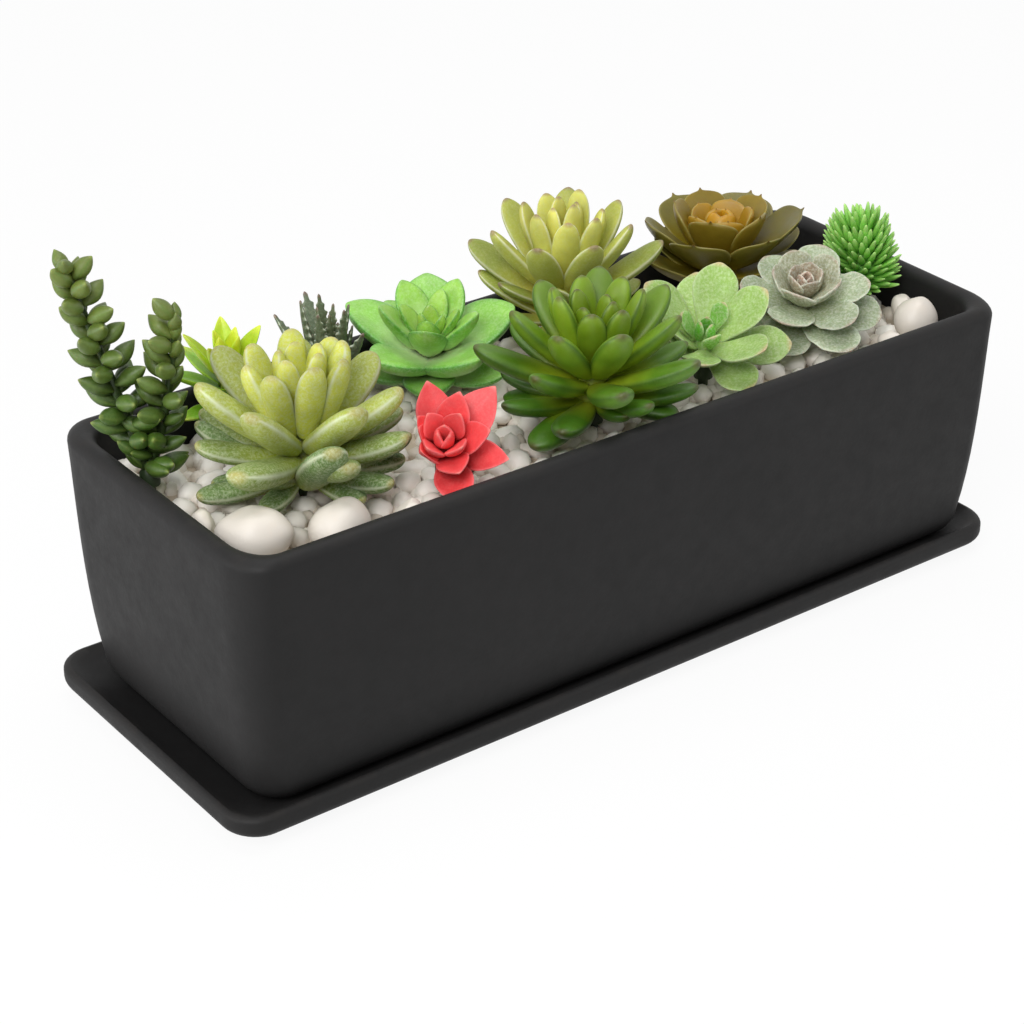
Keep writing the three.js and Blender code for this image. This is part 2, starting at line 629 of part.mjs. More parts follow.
// A body turned on an upright axis from radii and heights.
function turned(outline, sides) {
  const body = new THREE.LatheGeometry(outline.map(([r, z]) => new THREE.Vector2(r, z)), sides);
  body.rotateX(Math.PI / 2);
  return body;
}

// The neck stands on the pebbles and ends in a ball that the crown leans from.
function neckBody(place, height) {
  const top = height + NECK_RADIUS;
  const outline = [[0, 0], [NECK_RADIUS, 0], [NECK_RADIUS, height], [NECK_RADIUS / 2, top - NECK_CAP], [0, top]];
  return turned(outline, CROWN_SIDES).translate(place.x, place.y, PLANT_Z);
}

function crownBody(plant) {
  const top = plant.whorls.at(-1).height + CROWN_CAP;
  return turned([[0, 0], [plant.crown, 0], [plant.crown * CROWN_TAPER, top], [0, top]], CROWN_SIDES);
}

function settled(geometry, settle) {
  const points = geometry.attributes.position;
  for (let i = 0; i < points.count; i++) {
    const point = settle(new THREE.Vector3().fromBufferAttribute(points, i));
    points.setXYZ(i, point.x, point.y, point.z);
  }
  return solidOf(geometry);
}

function makeHead(plant) {
  const place = placeOf(plant);
  const pivot = new THREE.Vector3(place.x, place.y, PLANT_Z + plant.neck);
  const lean = THREE.MathUtils.degToRad(plant.lean);
  const axis = new THREE.Vector3(-Math.sin(lean), Math.cos(lean), 0);
  const tilt = THREE.MathUtils.degToRad(plant.tilt);
  const settle = (point) => point.clone().applyAxisAngle(axis, tilt).add(pivot);
  const bodies = [solidOf(neckBody(place, plant.neck)), settled(crownBody(plant), settle)];
  for (const whorl of plant.whorls) {
    for (let i = 0; i < whorl.count; i++) {
      const bearing = whorl.bearing + (360 * i) / whorl.count;
      const root = rootOf(plant, whorl, bearing);
      const leaf = placeLeaf(plant.leaf, whorl, bearing, root, settle, plant);
      bodies.push(...leaf.map((body) => settled(body, settle)));
    }
  }
  return withSocket(joined(bodies), place);
}

// A leaf starts inside the crown, part of the way out from the axis.
function rootOf(plant, whorl, bearing) {
  const turn = THREE.MathUtils.degToRad(bearing);
  const out = plant.crown * ROOT_SHARE;
  return new THREE.Vector3(out * Math.cos(turn), out * Math.sin(turn), whorl.height);
}

function branchCurve(branch, root) {
  const tip = root.clone().add(new THREE.Vector3(...branch.tip));
  const middle = root.clone().add(tip).divideScalar(2).add(new THREE.Vector3(...branch.bow));
  return new THREE.QuadraticBezierCurve3(root, middle, tip);
}

function branchBody(curve) {
  const rings = curve.getPoints(BRANCH_STEPS).map((point, step) => {
    const radius = SEDUM_BRANCH_RADIUS * (1 - (BRANCH_TAPER * step) / BRANCH_STEPS);
    return Array.from({ length: BRANCH_SIDES }, (_, i) => {
      const angle = (2 * Math.PI * i) / BRANCH_SIDES;
      return new THREE.Vector3(point.x + radius * Math.cos(angle), point.y + radius * Math.sin(angle), point.z);
    });
  });
  return solidOf(loft(rings));
}

function makeSedum() {
  const place = placeOf(SEDUM);
  const bodies = [solidOf(neckBody(place, SEDUM_NECK))];
  const root = new THREE.Vector3(place.x, place.y, PLANT_Z + SEDUM_NECK);
  const settle = (point) => point;
  for (const branch of SEDUM_BRANCHES) {
    const curve = branchCurve(branch, root);
    const count = Math.floor((curve.getLength() - branch.start) / SEDUM_LEAF_STEP);
    bodies.push(branchBody(curve));
    for (let i = 0; i <= count; i++) {
      const spot = curve.getPointAt((branch.start + i * SEDUM_LEAF_STEP) / curve.getLength());
      bodies.push(...placeLeaf(PEARL, SEDUM_LEAF, SEDUM_SPIRAL * i, spot, settle, SEDUM).map(solidOf));
    }
  }
  return withSocket(joined(bodies), place);
}

addPiece(planter, "saucer", makeSaucer(), CERAMIC);
addPiece(planting, "pot", makePot(), CERAMIC);
addPiece(planting, "foam_block", geometryOf(makeFoam()), FOAM);
addPiece(planting, "gravel_bed", geometryOf(makeGravel()), PEBBLE);
for (const stone of STONES) addPiece(planting, stone.name, stoneGeometry(stone, 0), PEBBLE);
for (const plant of PLANTS) {
  const finish = { color: plant.color, roughness: LEAF_ROUGHNESS, metalness: 0 };
  addPiece(planting, plant.name, geometryOf(makeHead(plant)), finish);
  addPiece(planting, plant.name + "_pick", makePick(placeOf(plant)), PICK);
}
addPiece(planting, SEDUM.name, geometryOf(makeSedum()), { color: SEDUM.color, roughness: LEAF_ROUGHNESS, metalness: 0 });
addPiece(planting, SEDUM.name + "_pick", makePick(placeOf(SEDUM)), PICK);

export default planter;
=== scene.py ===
"""A matte black ceramic trough on its saucer, planted with artificial succulents among white pebbles.

Lengths are in millimetres in the object's own frame, and turn to metres where a mesh is made.
"""
import math
import random

import bpy
import numpy as np
from mathutils import Matrix, Vector


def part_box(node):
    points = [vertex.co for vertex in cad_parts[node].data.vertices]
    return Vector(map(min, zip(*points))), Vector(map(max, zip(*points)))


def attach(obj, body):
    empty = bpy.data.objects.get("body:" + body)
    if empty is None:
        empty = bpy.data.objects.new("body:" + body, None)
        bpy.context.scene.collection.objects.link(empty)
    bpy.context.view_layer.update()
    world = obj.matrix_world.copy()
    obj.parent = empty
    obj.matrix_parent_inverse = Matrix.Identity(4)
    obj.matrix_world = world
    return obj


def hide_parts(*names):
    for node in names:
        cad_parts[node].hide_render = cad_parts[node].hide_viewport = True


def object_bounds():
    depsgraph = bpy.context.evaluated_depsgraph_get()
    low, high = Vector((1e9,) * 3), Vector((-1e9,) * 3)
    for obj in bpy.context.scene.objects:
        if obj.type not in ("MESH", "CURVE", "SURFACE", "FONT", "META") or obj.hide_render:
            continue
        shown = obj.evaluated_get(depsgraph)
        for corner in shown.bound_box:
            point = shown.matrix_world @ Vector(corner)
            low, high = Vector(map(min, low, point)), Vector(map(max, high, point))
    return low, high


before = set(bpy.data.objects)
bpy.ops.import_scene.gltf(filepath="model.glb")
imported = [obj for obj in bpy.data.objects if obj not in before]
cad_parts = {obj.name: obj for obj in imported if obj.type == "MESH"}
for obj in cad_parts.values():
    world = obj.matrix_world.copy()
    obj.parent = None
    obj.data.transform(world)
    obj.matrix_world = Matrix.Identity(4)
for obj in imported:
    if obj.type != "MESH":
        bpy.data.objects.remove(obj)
cad_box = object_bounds()

MM = 0.001
BOX_LOW, BOX_HIGH = (np.array(corner) / MM for corner in cad_box)


def corners(name):
    """Lowest and highest corner of a node, in millimetres."""
    low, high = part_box(name)
    return low / MM, high / MM


# Places that the frame gives
SAUCER_LOW, SAUCER_HIGH = corners("saucer")
POT_LOW, POT_HIGH = corners("pot")
POT_CENTRE = (POT_LOW + POT_HIGH) / 2
POT_LENGTH = POT_HIGH.x - POT_LOW.x
POT_WIDTH = POT_HIGH.y - POT_LOW.y
POT_HEIGHT = POT_HIGH.z - POT_LOW.z
RIM_Z = POT_HIGH.z
GRAVEL_LOW = corners("gravel_bed")[0]
STONES = [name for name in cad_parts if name.endswith("_pebble")]
STONE_BOXES = [corners(stone) for stone in STONES]

# Saucer
SAUCER_CORNER = 10
SAUCER_FLOOR = 6.5
SAUCER_LIP_RADIUS = 4.2
SAUCER_LIP_EDGE = 2
SAUCER_DISH_END = 17
SAUCER_DISH_POWER = 1.8
SAUCER_FOOT_INSET = 9
SAUCER_LIP_UNDERSIDE = -0.7
SAUCER_FILLET = 1.2

# Pot
POT_CORNER = 8.5
POT_WALL = 7
POT_FLOOR = 8
POT_RIM_ROUNDING = 3.5
POT_TAPER = 2.2
POT_FOOT_TUCK = 4.2
POT_TUCK_POWER = 4
POT_FOOT_ROUNDING = 11
POT_FOOT_RING = 9
POT_FOOT_RECESS = 2
POT_FILLET = 1
BURNISH_DEPTH = 2.4
DRAIN_DIAMETER = 14
DRAIN_SPACING = 150
DRAIN_SIDES = 32
MOUTH_HALF_LENGTH = POT_LENGTH / 2 - POT_WALL
MOUTH_HALF_WIDTH = POT_WIDTH / 2 - POT_WALL

# The bed: its small pebbles lie in staggered rows. Each lies a little off its place and up to a drop lower
# than the highest ones, and smaller ones fill the grooves between them. Cream is the share of the darker
# tone; on the fillers and on the bed below them that darker tone is painted shade in the gaps.
GRAVEL_BELOW_RIM = 11
GRAVEL_Z = RIM_Z - GRAVEL_BELOW_RIM
PEBBLE_SPACING = 10
PEBBLE_ROW = PEBBLE_SPACING * math.sin(math.pi / 3)
PEBBLE_SWAY = 1.6
PEBBLE_DROP = 1.6
PEBBLE_SCATTER = dict(along=0.618034, across=0.754878, down=0.56984)
PEBBLE_ROW_NUMBERS = 100
PEBBLE_KINDS = 6
PEBBLE_SEED = 5
PEBBLE_SIDES = 8
PEBBLE_RINGS = 6
PEBBLE_KNOCKS = dict(offset=0.2, uniform=0.1, normal=0.4)
PEBBLE_SMOOTHING = 0.35
PEBBLE_STRAY = 1.6
PEBBLE_LONG = (4, 6.2)
PEBBLE_BROAD = (3.2, 4.8)
PEBBLE_TALL = (2.8, 4)
PEBBLE_LEAN = 0.3
PEBBLE_WALL_GAP = 0.5
PEBBLE_CREAM = (0, 0.2)
FILLER_HALF = (2.7, 3.9)
FILLER_DROP = 2.2
# Painted shade: the fillers are tinted darker, for the shade in the grooves between the pebbles.
FILLER_PAINTED_SHADE = (0.2, 0.6)
BED_DROP = 6
# Painted shade: the bed is tinted darker, for the shade under and between the pebbles.
BED_PAINTED_SHADE = 0.8

# Large pebbles
STONE_KNOCKS = dict(offset=1.2, uniform=0, normal=0.5)
STONE_LEVELS = 3
STONE_CREAM = 0.38
STONE_OVERLAP = 0.1
MERGE_DISTANCE = 0.01

# Picks
PICK_RADIUS = 2
PICK_POINT = 7
PICK_RIDGE = 0.35
PICK_RIDGE_BASE = 2
PICK_RIDGE_STEP = 6

# How finely round shapes are cut
CORNER_STEPS = 10
ROUNDING_STEPS = 8
WALL_STEPS = 10
TURNED_SIDES = 16
CERAMIC_CREASE = 35
TURNED_CREASE = 40
CURVE_FINENESS = 10

# Room that the leaves keep, and how much they differ from one another
LEAF_GAP = 0.4
FREE_ROOT = 0.2
RAISE_STEP = 4
RAISE_LIMIT = 88
STEEPEST = 86
LEAST_CURL = 0.01
LEAF_SHARES = ((1, 0.9, 0.8, 0.7), (0.6, 0.5, 0.4))
ROOT_SHARE = 0.7
SWAY_BEARING = 5
SWAY_PITCH = 4
SWAY_LENGTH = 0.06
SWAY_ROLL = 0.14
SWAY_SIDEWAYS = 0.05
RUFFLES = 22

# Leaf outlines: place along the leaf, share of its width, share of its thickness. The tip is at 1.
FINGER = (
    (0, 0.55, 0.7), (0.1, 0.66, 0.8), (0.3, 0.86, 0.95), (0.55, 1, 1),
    (0.77, 0.97, 0.95), (0.9, 0.76, 0.74), (0.965, 0.42, 0.42),
)
BLUNT = (
    (0, 0.55, 0.65), (0.12, 0.68, 0.78), (0.34, 0.91, 0.96), (0.57, 1, 1),
    (0.77, 0.92, 0.92), (0.9, 0.66, 0.68), (0.965, 0.3, 0.34),
)
SPOON = (
    (0, 0.35, 0.9), (0.15, 0.44, 0.95), (0.38, 0.76, 1), (0.6, 1, 0.9),
    (0.78, 0.92, 0.75), (0.91, 0.58, 0.5), (0.975, 0.2, 0.25),
)
OVATE = (
    (0, 0.6, 0.9), (0.14, 0.8, 1), (0.36, 1, 1), (0.58, 0.97, 0.92),
    (0.77, 0.78, 0.76), (0.9, 0.46, 0.52), (0.97, 0.16, 0.22),
)
ROUND = (
    (0, 0.42, 0.9), (0.15, 0.62, 1), (0.38, 0.92, 1), (0.6, 1, 0.9),
    (0.79, 0.92, 0.72), (0.91, 0.62, 0.5), (0.97, 0.26, 0.28),
)
SPIKED = (
    (0, 0.4, 0.9), (0.15, 0.58, 1), (0.36, 0.86, 1), (0.58, 1, 0.9), (0.76, 1, 0.72),
    (0.88, 0.78, 0.5), (0.93, 0.36, 0.3), (0.945, 0.07, 0.16), (0.985, 0.035, 0.1),
)
PETAL = (
    (0, 0.4, 0.9), (0.18, 0.7, 1), (0.42, 1, 1), (0.62, 0.9, 0.85),
    (0.8, 0.58, 0.65), (0.92, 0.25, 0.4), (0.98, 0.07, 0.15),
)
BLADE = ((0, 0.55, 1), (0.28, 0.88, 0.95), (0.52, 1, 0.85), (0.78, 0.64, 0.6), (0.95, 0.18, 0.3))
TEARDROP = (
    (0, 0.2, 0.2), (0.14, 0.52, 0.5), (0.34, 0.92, 0.88), (0.52, 1, 1),
    (0.7, 0.8, 0.86), (0.86, 0.4, 0.5), (0.96, 0.1, 0.16),
)
NEEDLE = ((0, 0.6, 0.6), (0.35, 1, 1), (0.75, 0.5, 0.5))

# Teeth: how many, and for each the share of the blade's width at places along the tooth
TOOTH_COUNT = 9
TOOTH_SHAPE = ((0, 0.7), (0.6, 1.5), (0.7, 0.78))


def toothed(blade):
    """A blade's outline with a row of teeth that point to the tip."""
    places, widths, depths = zip(*blade)
    outline = []
    for tooth in range(TOOTH_COUNT):
        for step, share in TOOTH_SHAPE:
            place = (tooth + step) / TOOTH_COUNT
            width = share * np.interp(place, places, widths)
            outline.append((place, width, np.interp(place, places, depths)))
    return tuple(outline)


TOOTHED = toothed(BLADE)


def hex_colour(text):
    """An sRGB hex value as linear red, green, blue and alpha."""
    parts = [int(text[i:i + 2], 16) / 255 for i in (1, 3, 5)]
    return [c / 12.92 if c <= 0.04045 else ((c + 0.055) / 1.055) ** 2.4 for c in parts] + [1]


def whorl(count, bearing, height, pitch, curl, length, width, thick, out=None):
    """A layer of leaves: count, bearing of the first, height in the crown, pitch, curl, length, half width,
    half thickness, and how far out from the axis they start, where that isn't at the crown's side."""
    return dict(
        count=count, bearing=bearing, height=height, pitch=pitch, curl=curl, length=length, width=width,
        thick=thick, out=out,
    )


def succulent(
    reach, neck, crown, outline, whorls, tilt=0, lean=0, top=0.6, cup=0, fold=0, ruffle=0, sides=8, levels=2,
):
    """A plant: reach is the ground that it holds against its neighbours, neck the height of its lowest
    leaves above the pebbles, crown the radius of its core, and tilt leans the crown towards the bearing
    lean. cup lifts a leaf's edges in a bowl, fold in a V and ruffle in waves. top is a leaf's thickness
    above its middle as a share of that below it, and sides and levels say how finely the leaf is cut and
    smoothed."""
    return dict(
        reach=reach, neck=neck, crown=crown, outline=outline, whorls=whorls, tilt=tilt, lean=lean, top=top,
        cup=cup, fold=fold, ruffle=ruffle, sides=sides, levels=levels,
    )


# The plants, some of which face the front left
TO_FRONT = -127
PLANTS = {
    "lime_sprout": succulent(17, 8, 4.5, BLADE, top=0.4, fold=0.35, whorls=[
        whorl(6, 10, 0, 4, 0, 19, 4.2, 1.8),
        whorl(6, 40, 6, 24, 0, 19, 4.2, 1.8),
        whorl(5, 0, 11, 54, 0, 17, 3.6, 1.6),
        whorl(4, 30, 12, 72, 4, 14, 3, 1.5, out=1.6),
    ]),
    "frosted_rosette": succulent(38, 4, 8, FINGER, top=0.75, whorls=[
        whorl(6, 35, 0, -8, 6, 32, 6, 4.8),
        whorl(9, 13, 0, 0, 8, 42, 6.6, 5),
        whorl(8, 30, 6, 14, 10, 40, 6.8, 5),
        whorl(7, 8, 11, 36, 8, 33, 6.4, 4.6),
        whorl(8, 24, 15, 66, 6, 27, 4.8, 3.8),
        whorl(5, 0, 17, 82, 3, 25, 3.8, 3, out=3),
    ]),
    "toothed_haworthia": succulent(18, 4, 5, TOOTHED, top=0.5, cup=0.1, fold=0.2, sides=6, levels=1, whorls=[
        whorl(8, 0, 0, 28, 8, 25, 4.2, 2.2),
        whorl(7, 25, 4, 50, 6, 26, 4, 2),
        whorl(5, 0, 7, 74, 4, 24, 3, 1.8),
        whorl(3, 30, 8, 84, 2, 20, 2.6, 1.6, out=1.5),
    ]),
    "green_echeveria": succulent(31, 4, 6, OVATE, tilt=12, lean=TO_FRONT, cup=0.2, fold=0.05, whorls=[
        whorl(5, 16, 0, 2, 12, 31, 12.5, 4.8),
        whorl(5, 52, 6, 26, 14, 28, 11, 4.4),
        whorl(5, 16, 11, 48, 10, 20, 6.4, 3),
        whorl(4, 40, 12.5, 60, 8, 15, 4, 2, out=3),
        whorl(3, 60, 13, 76, 6, 11, 3.2, 2, out=1.5),
    ]),
    "coral_rosette": succulent(18, 9, 4.5, PETAL, tilt=38, lean=TO_FRONT, cup=0.12, fold=0.12, whorls=[
        whorl(6, 8, 0, 14, 6, 22, 6.8, 1.8),
        whorl(5, 34, 3.5, 40, 8, 15, 5.4, 1.8),
        whorl(4, 10, 5.5, 62, 6, 11, 4.2, 1.8),
        whorl(3, 50, 6.5, 78, 8, 8, 3.2, 1.8, out=1.2),
    ]),
    "pale_rosette": succulent(30, 7, 7, BLUNT, top=0.55, whorls=[
        whorl(8, 0, 0, 8, 10, 34, 6.4, 3.6),
        whorl(7, 22, 6, 26, 10, 34, 6.4, 3.6),
        whorl(7, 0, 11, 48, 8, 31, 5.8, 3.4),
        whorl(7, 25, 15, 70, 6, 26, 4.6, 3),
        whorl(4, 0, 17, 83, 2, 24, 3.8, 2.6, out=2.5),
    ]),
    "green_rosette": succulent(34, 8, 7, BLUNT, top=0.7, whorls=[
        whorl(6, 14, 0, -12, 8, 28, 6, 4.2),
        whorl(8, -8, 0, 3, 14, 36, 6.2, 4.2),
        whorl(8, 16, 6, 18, 12, 37, 6.2, 4.2),
        whorl(7, -5, 11, 42, 10, 31, 6, 3.8),
        whorl(7, 20, 15, 64, 6, 24, 4.8, 3.2),
        whorl(4, 10, 17, 78, 4, 19, 3.8, 2.6, out=2.5),
    ]),
    "mint_rosette": succulent(23, 9, 5, SPOON, tilt=24, lean=TO_FRONT, cup=0.12, fold=0.05, whorls=[
        whorl(7, 10, 0, 8, 8, 26, 7.8, 2.2),
        whorl(6, 46, 4, 30, 10, 24, 7.6, 2.2),
        whorl(3, 10, 7, 60, 4, 11, 3.4, 1.8),
        whorl(3, 40, 7, 74, 24, 8, 2.2, 1.8, out=1.5),
    ]),
    "amber_rosette": succulent(30, 5, 7, SPIKED, cup=0.2, whorls=[
        whorl(6, 0, 0, 10, 26, 34, 12.5, 2.6),
        whorl(6, 30, 5, 26, 26, 30, 11, 2.6),
        whorl(5, 0, 9, 44, 22, 22, 9, 2.6),
        whorl(5, 30, 11, 58, 22, 15, 6.4, 2.8),
        whorl(4, 0, 12, 76, 26, 12, 4.8, 3, out=2.5),
        whorl(3, 20, 12.5, 84, 20, 9, 3.2, 2.6, out=0.9),
    ]),
    "dusty_echeveria": succulent(23, 9, 6, ROUND, tilt=18, lean=TO_FRONT, cup=0.14, ruffle=0.03, whorls=[
        whorl(7, 0, 0, 2, 6, 23, 9, 1.8),
        whorl(6, 32, 3.5, 16, 8, 19, 8, 1.8),
        whorl(5, 0, 7, 46, 14, 12.5, 6.5, 1.8),
        whorl(5, 30, 8.5, 62, 16, 8.5, 4.2, 1.4, out=2.6),
        whorl(4, 0, 9, 80, 16, 6.5, 3, 1.4, out=1.2),
    ]),
    "hedgehog_sedum": succulent(15, 6, 8.5, NEEDLE, tilt=8, lean=142, top=1, sides=4, levels=1, whorls=[
        *[whorl(14, 13 * i, 1.6 * i, 4 + 5 * i, 14, 9.4, 1.3, 0.9) for i in range(12)],
        whorl(9, 8, 19.5, 66, 6, 9, 1.3, 0.9, out=3.6),
        whorl(5, 0, 20, 80, 4, 8.5, 1.3, 0.9, out=1.4),
    ]),
}

# The trailing sedum has two branches, each from the root to its tip by way of a bow, with leaves on a spiral
# that are shorter and steeper towards the tip.
SEDUM = "trailing_sedum"
SEDUM_REACH = 22
SEDUM_NECK = 4
SEDUM_BRANCH_RADIUS = 2
SEDUM_BRANCH_TAPER = 0.5
SEDUM_BRANCH_STEPS = 24
SEDUM_BRANCH_SIDES = 10
SEDUM_LEAF_SIDES = 12
SEDUM_LEAF_LEVELS = 1
SEDUM_LEAF_TOP = 1
SEDUM_LEAF = whorl(1, 0, 0, 8, 8, 14.5, 3.1, 2.7)
SEDUM_RISE = 32
SEDUM_LEAF_STEP = 1.7
SEDUM_TIP_SHARE = 0.72
SEDUM_SWAY = 10
SEDUM_SPIRAL = 137.5
SEDUM_BRANCHES = (
    dict(tip=Vector((-16, 12, 67)), bow=Vector((-1, 4, 8))),
    dict(tip=Vector((10, -4, 50)), bow=Vector((3, -3, 4))),
)

# Places of the plants, from the frame
REACH = {name: plant["reach"] for name, plant in PLANTS.items()} | {SEDUM: SEDUM_REACH}
PLACES = {name: sum(corners(name + "_pick"), Vector()) / 2 for name in REACH}
PLANT_Z = corners(SEDUM)[0].z

# The stalk and the core of a plant's head
NECK_RADIUS = 3.2
NECK_CAP = 2
CROWN_TAPER = 0.5
CROWN_BUD = 3
CROWN_HEART = 0.5
CROWN_TONE = 0.2


def node(tree, kind, inputs=None, **settings):
    """Adds a node with its settings, and a value or a link on each named input."""
    made = tree.nodes.new("ShaderNode" + kind)
    for key, value in settings.items():
        setattr(made, key, value)
    for socket, value in (inputs or {}).items():
        if isinstance(value, bpy.types.NodeSocket):
            tree.links.new(value, made.inputs[socket])
        else:
            made.inputs[socket].default_value = value
    return made


def mix(tree, amount, under, over):
    """A colour laid over another one in an amount."""
    colours = [hex_colour(c) if isinstance(c, str) else c for c in (under, over)]
    return node(tree, "Mix", {0: amount, 6: colours[0], 7: colours[1]}, data_type="RGBA").outputs[2]


def ramp(tree, value, start, end, low=0, high=1):
    """A value stretched from one span to another."""
    spans = {"Value": value, "From Min": start, "From Max": end, "To Min": low, "To Max": high}
    return node(tree, "MapRange", spans).outputs["Result"]


def noise(tree, size, detail=3, roughness=0.5):
    """A cloudy pattern with features of a size in millimetres."""
    spot = node(tree, "TexCoord").outputs["Object"]
    inputs = {"Vector": spot, "Scale": 1 / (size * MM), "Detail": detail, "Roughness": roughness}
    return node(tree, "TexNoise", inputs).outputs["Fac"]


def bump(tree, height, strength, depth):
    """Relief of a depth in millimetres."""
    inputs = {"Height": height, "Strength": strength, "Distance": depth * MM}
    return node(tree, "Bump", inputs).outputs["Normal"]


def new_material(name):
    """A material, its node tree and its shader."""
    material = bpy.data.materials.new(name)
    material.use_nodes = True
    return material, material.node_tree, material.node_tree.nodes["Principled BSDF"]


def finish(tree, shader, **inputs):
    """Sets the shader's own sockets, named with underscores for spaces, to values or links."""
    for key, value in inputs.items():
        socket = shader.inputs[key.replace("_", " ")]
        if isinstance(value, bpy.types.NodeSocket):
            tree.links.new(value, socket)
        else:
            socket.default_value = value


def deselect():
    """Drops the selection, so that an operator acts on nothing else."""
    bpy.ops.object.select_all(action="DESELECT")


def start_edit():
    """Opens the active object in edit mode with all of it selected."""
    bpy.ops.object.mode_set(mode="EDIT")
    bpy.ops.mesh.select_all(action="SELECT")


def extrude(move, scale, centre):
    """Extrudes the selected face by a move, and scales the new face about a centre."""
    bpy.ops.mesh.extrude_region_move(TRANSFORM_OT_translate={"value": move})
    bpy.ops.transform.resize(value=scale, center_override=centre)


def end_edit():
    """Turns all faces outwards and leaves edit mode."""
    bpy.ops.mesh.select_all(action="SELECT")
    bpy.ops.mesh.normals_make_consistent(inside=False)
    bpy.ops.object.mode_set(mode="OBJECT")


def linked(mesh):
    """An object of its own for a mesh."""
    piece = bpy.data.objects.new(mesh.name, mesh)
    bpy.context.scene.collection.objects.link(piece)
    return piece


def join(objects):
    """One object of several, at the origin."""
    deselect()
    for piece in objects:
        piece.select_set(True)
    bpy.context.view_layer.objects.active = objects[0]
    bpy.ops.object.join()
    return bpy.context.object


def smooth(piece, levels):
    """Rounds a piece by subdivision."""
    bpy.context.view_layer.objects.active = piece
    surface = piece.modifiers.new("surface", "SUBSURF")
    surface.levels = levels
    surface.render_levels = levels
    bpy.ops.object.modifier_apply(modifier=surface.name)


def points_of(mesh):
    """The mesh's points, one to a row."""
    points = np.zeros(len(mesh.vertices) * 3)
    mesh.vertices.foreach_get("co", points)
    return points.reshape(-1, 3)


def dress(piece, name, body, material, slot, *nodes):
    """Sets a finished piece in the frame, in metres, with its finish, if it has none yet, and the nodes that
    it stands for."""
    piece.name = name
    piece.data.name = name
    piece.data.transform(Matrix.Scale(MM, 4))
    if material:
        piece.data.materials.clear()
        piece.data.materials.append(material)
    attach(piece, body)
    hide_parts(*nodes)


# Ceramic

def arc(inset, z, radius, start, end):
    """Points of an arc in a profile, from one angle to another in quarter turns."""
    turns = [start + (end - start) * step / ROUNDING_STEPS for step in range(ROUNDING_STEPS + 1)]
    angles = [turn * math.pi / 2 for turn in turns]
    return [(inset - radius * math.cos(angle), z + radius * math.sin(angle)) for angle in angles]


def raised(centre, length, width, corner, profile):
    """A closed body grown from a plate with round corners: each step of the profile, an inset from the
    outline and a height, is one extrusion that is then drawn in or let out."""
    deselect()
    inset, z = profile[0]
    bpy.ops.mesh.primitive_plane_add(size=1, location=(centre.x, centre.y, z))
    body = bpy.context.object
    body.scale = (length - 2 * inset, width - 2 * inset, 1)
    bpy.ops.object.transform_apply(location=True, rotation=False, scale=True)
    start_edit()
    bpy.ops.mesh.bevel(offset=corner, segments=CORNER_STEPS, affect="VERTICES")
    for to_inset, to_z in profile[1:]:
        along = (length - 2 * to_inset) / (length - 2 * inset)
        across = (width - 2 * to_inset) / (width - 2 * inset)
        extrude((0, 0, to_z - z), (along, across, 1), (centre.x, centre.y, to_z))
        inset, z = to_inset, to_z
    end_edit()
    bpy.ops.object.shade_smooth_by_angle(angle=math.radians(CERAMIC_CREASE))
    return body


def saucer_dish():
    """Points of the slope in the saucer's hollow, from the lip's edge down to the floor."""
    width = SAUCER_DISH_END - SAUCER_LIP_EDGE
    depth = SAUCER_HIGH.z - SAUCER_FLOOR
    points = []
    for step in range(1, ROUNDING_STEPS + 1):
        share = step / ROUNDING_STEPS
        z = SAUCER_FLOOR + depth * (1 - share) ** SAUCER_DISH_POWER
        points.append((SAUCER_LIP_EDGE + width * share, z))
    return points


def make_saucer():
    """The saucer: a round lip, and a hollow that falls softly from it to the floor."""
    centre = (SAUCER_LOW + SAUCER_HIGH) / 2
    length = SAUCER_HIGH.x - SAUCER_LOW.x
    width = SAUCER_HIGH.y - SAUCER_LOW.y
    top_z = SAUCER_HIGH.z
    fillet = SAUCER_FILLET
    profile = [
        (SAUCER_FOOT_INSET + fillet, 0),
        (SAUCER_FOOT_INSET, 0),
        (SAUCER_FOOT_INSET - fillet / 2, fillet / 3),
        *arc(SAUCER_LIP_RADIUS, top_z - SAUCER_LIP_RADIUS, SAUCER_LIP_RADIUS, SAUCER_LIP_UNDERSIDE, 0),
        *arc(SAUCER_LIP_EDGE, top_z - SAUCER_LIP_EDGE, SAUCER_LIP_EDGE, 0, 1),
        *saucer_dish(),
        (SAUCER_DISH_END + fillet, SAUCER_FLOOR),
    ]
    return raised(centre, length, width, SAUCER_CORNER, profile)


def wall_inset(z):
    """How far the pot's outer wall stands in from the rim's outline at a height."""
    down = (RIM_Z - z) / POT_HEIGHT
    return POT_TAPER * down + POT_FOOT_TUCK * down ** POT_TUCK_POWER


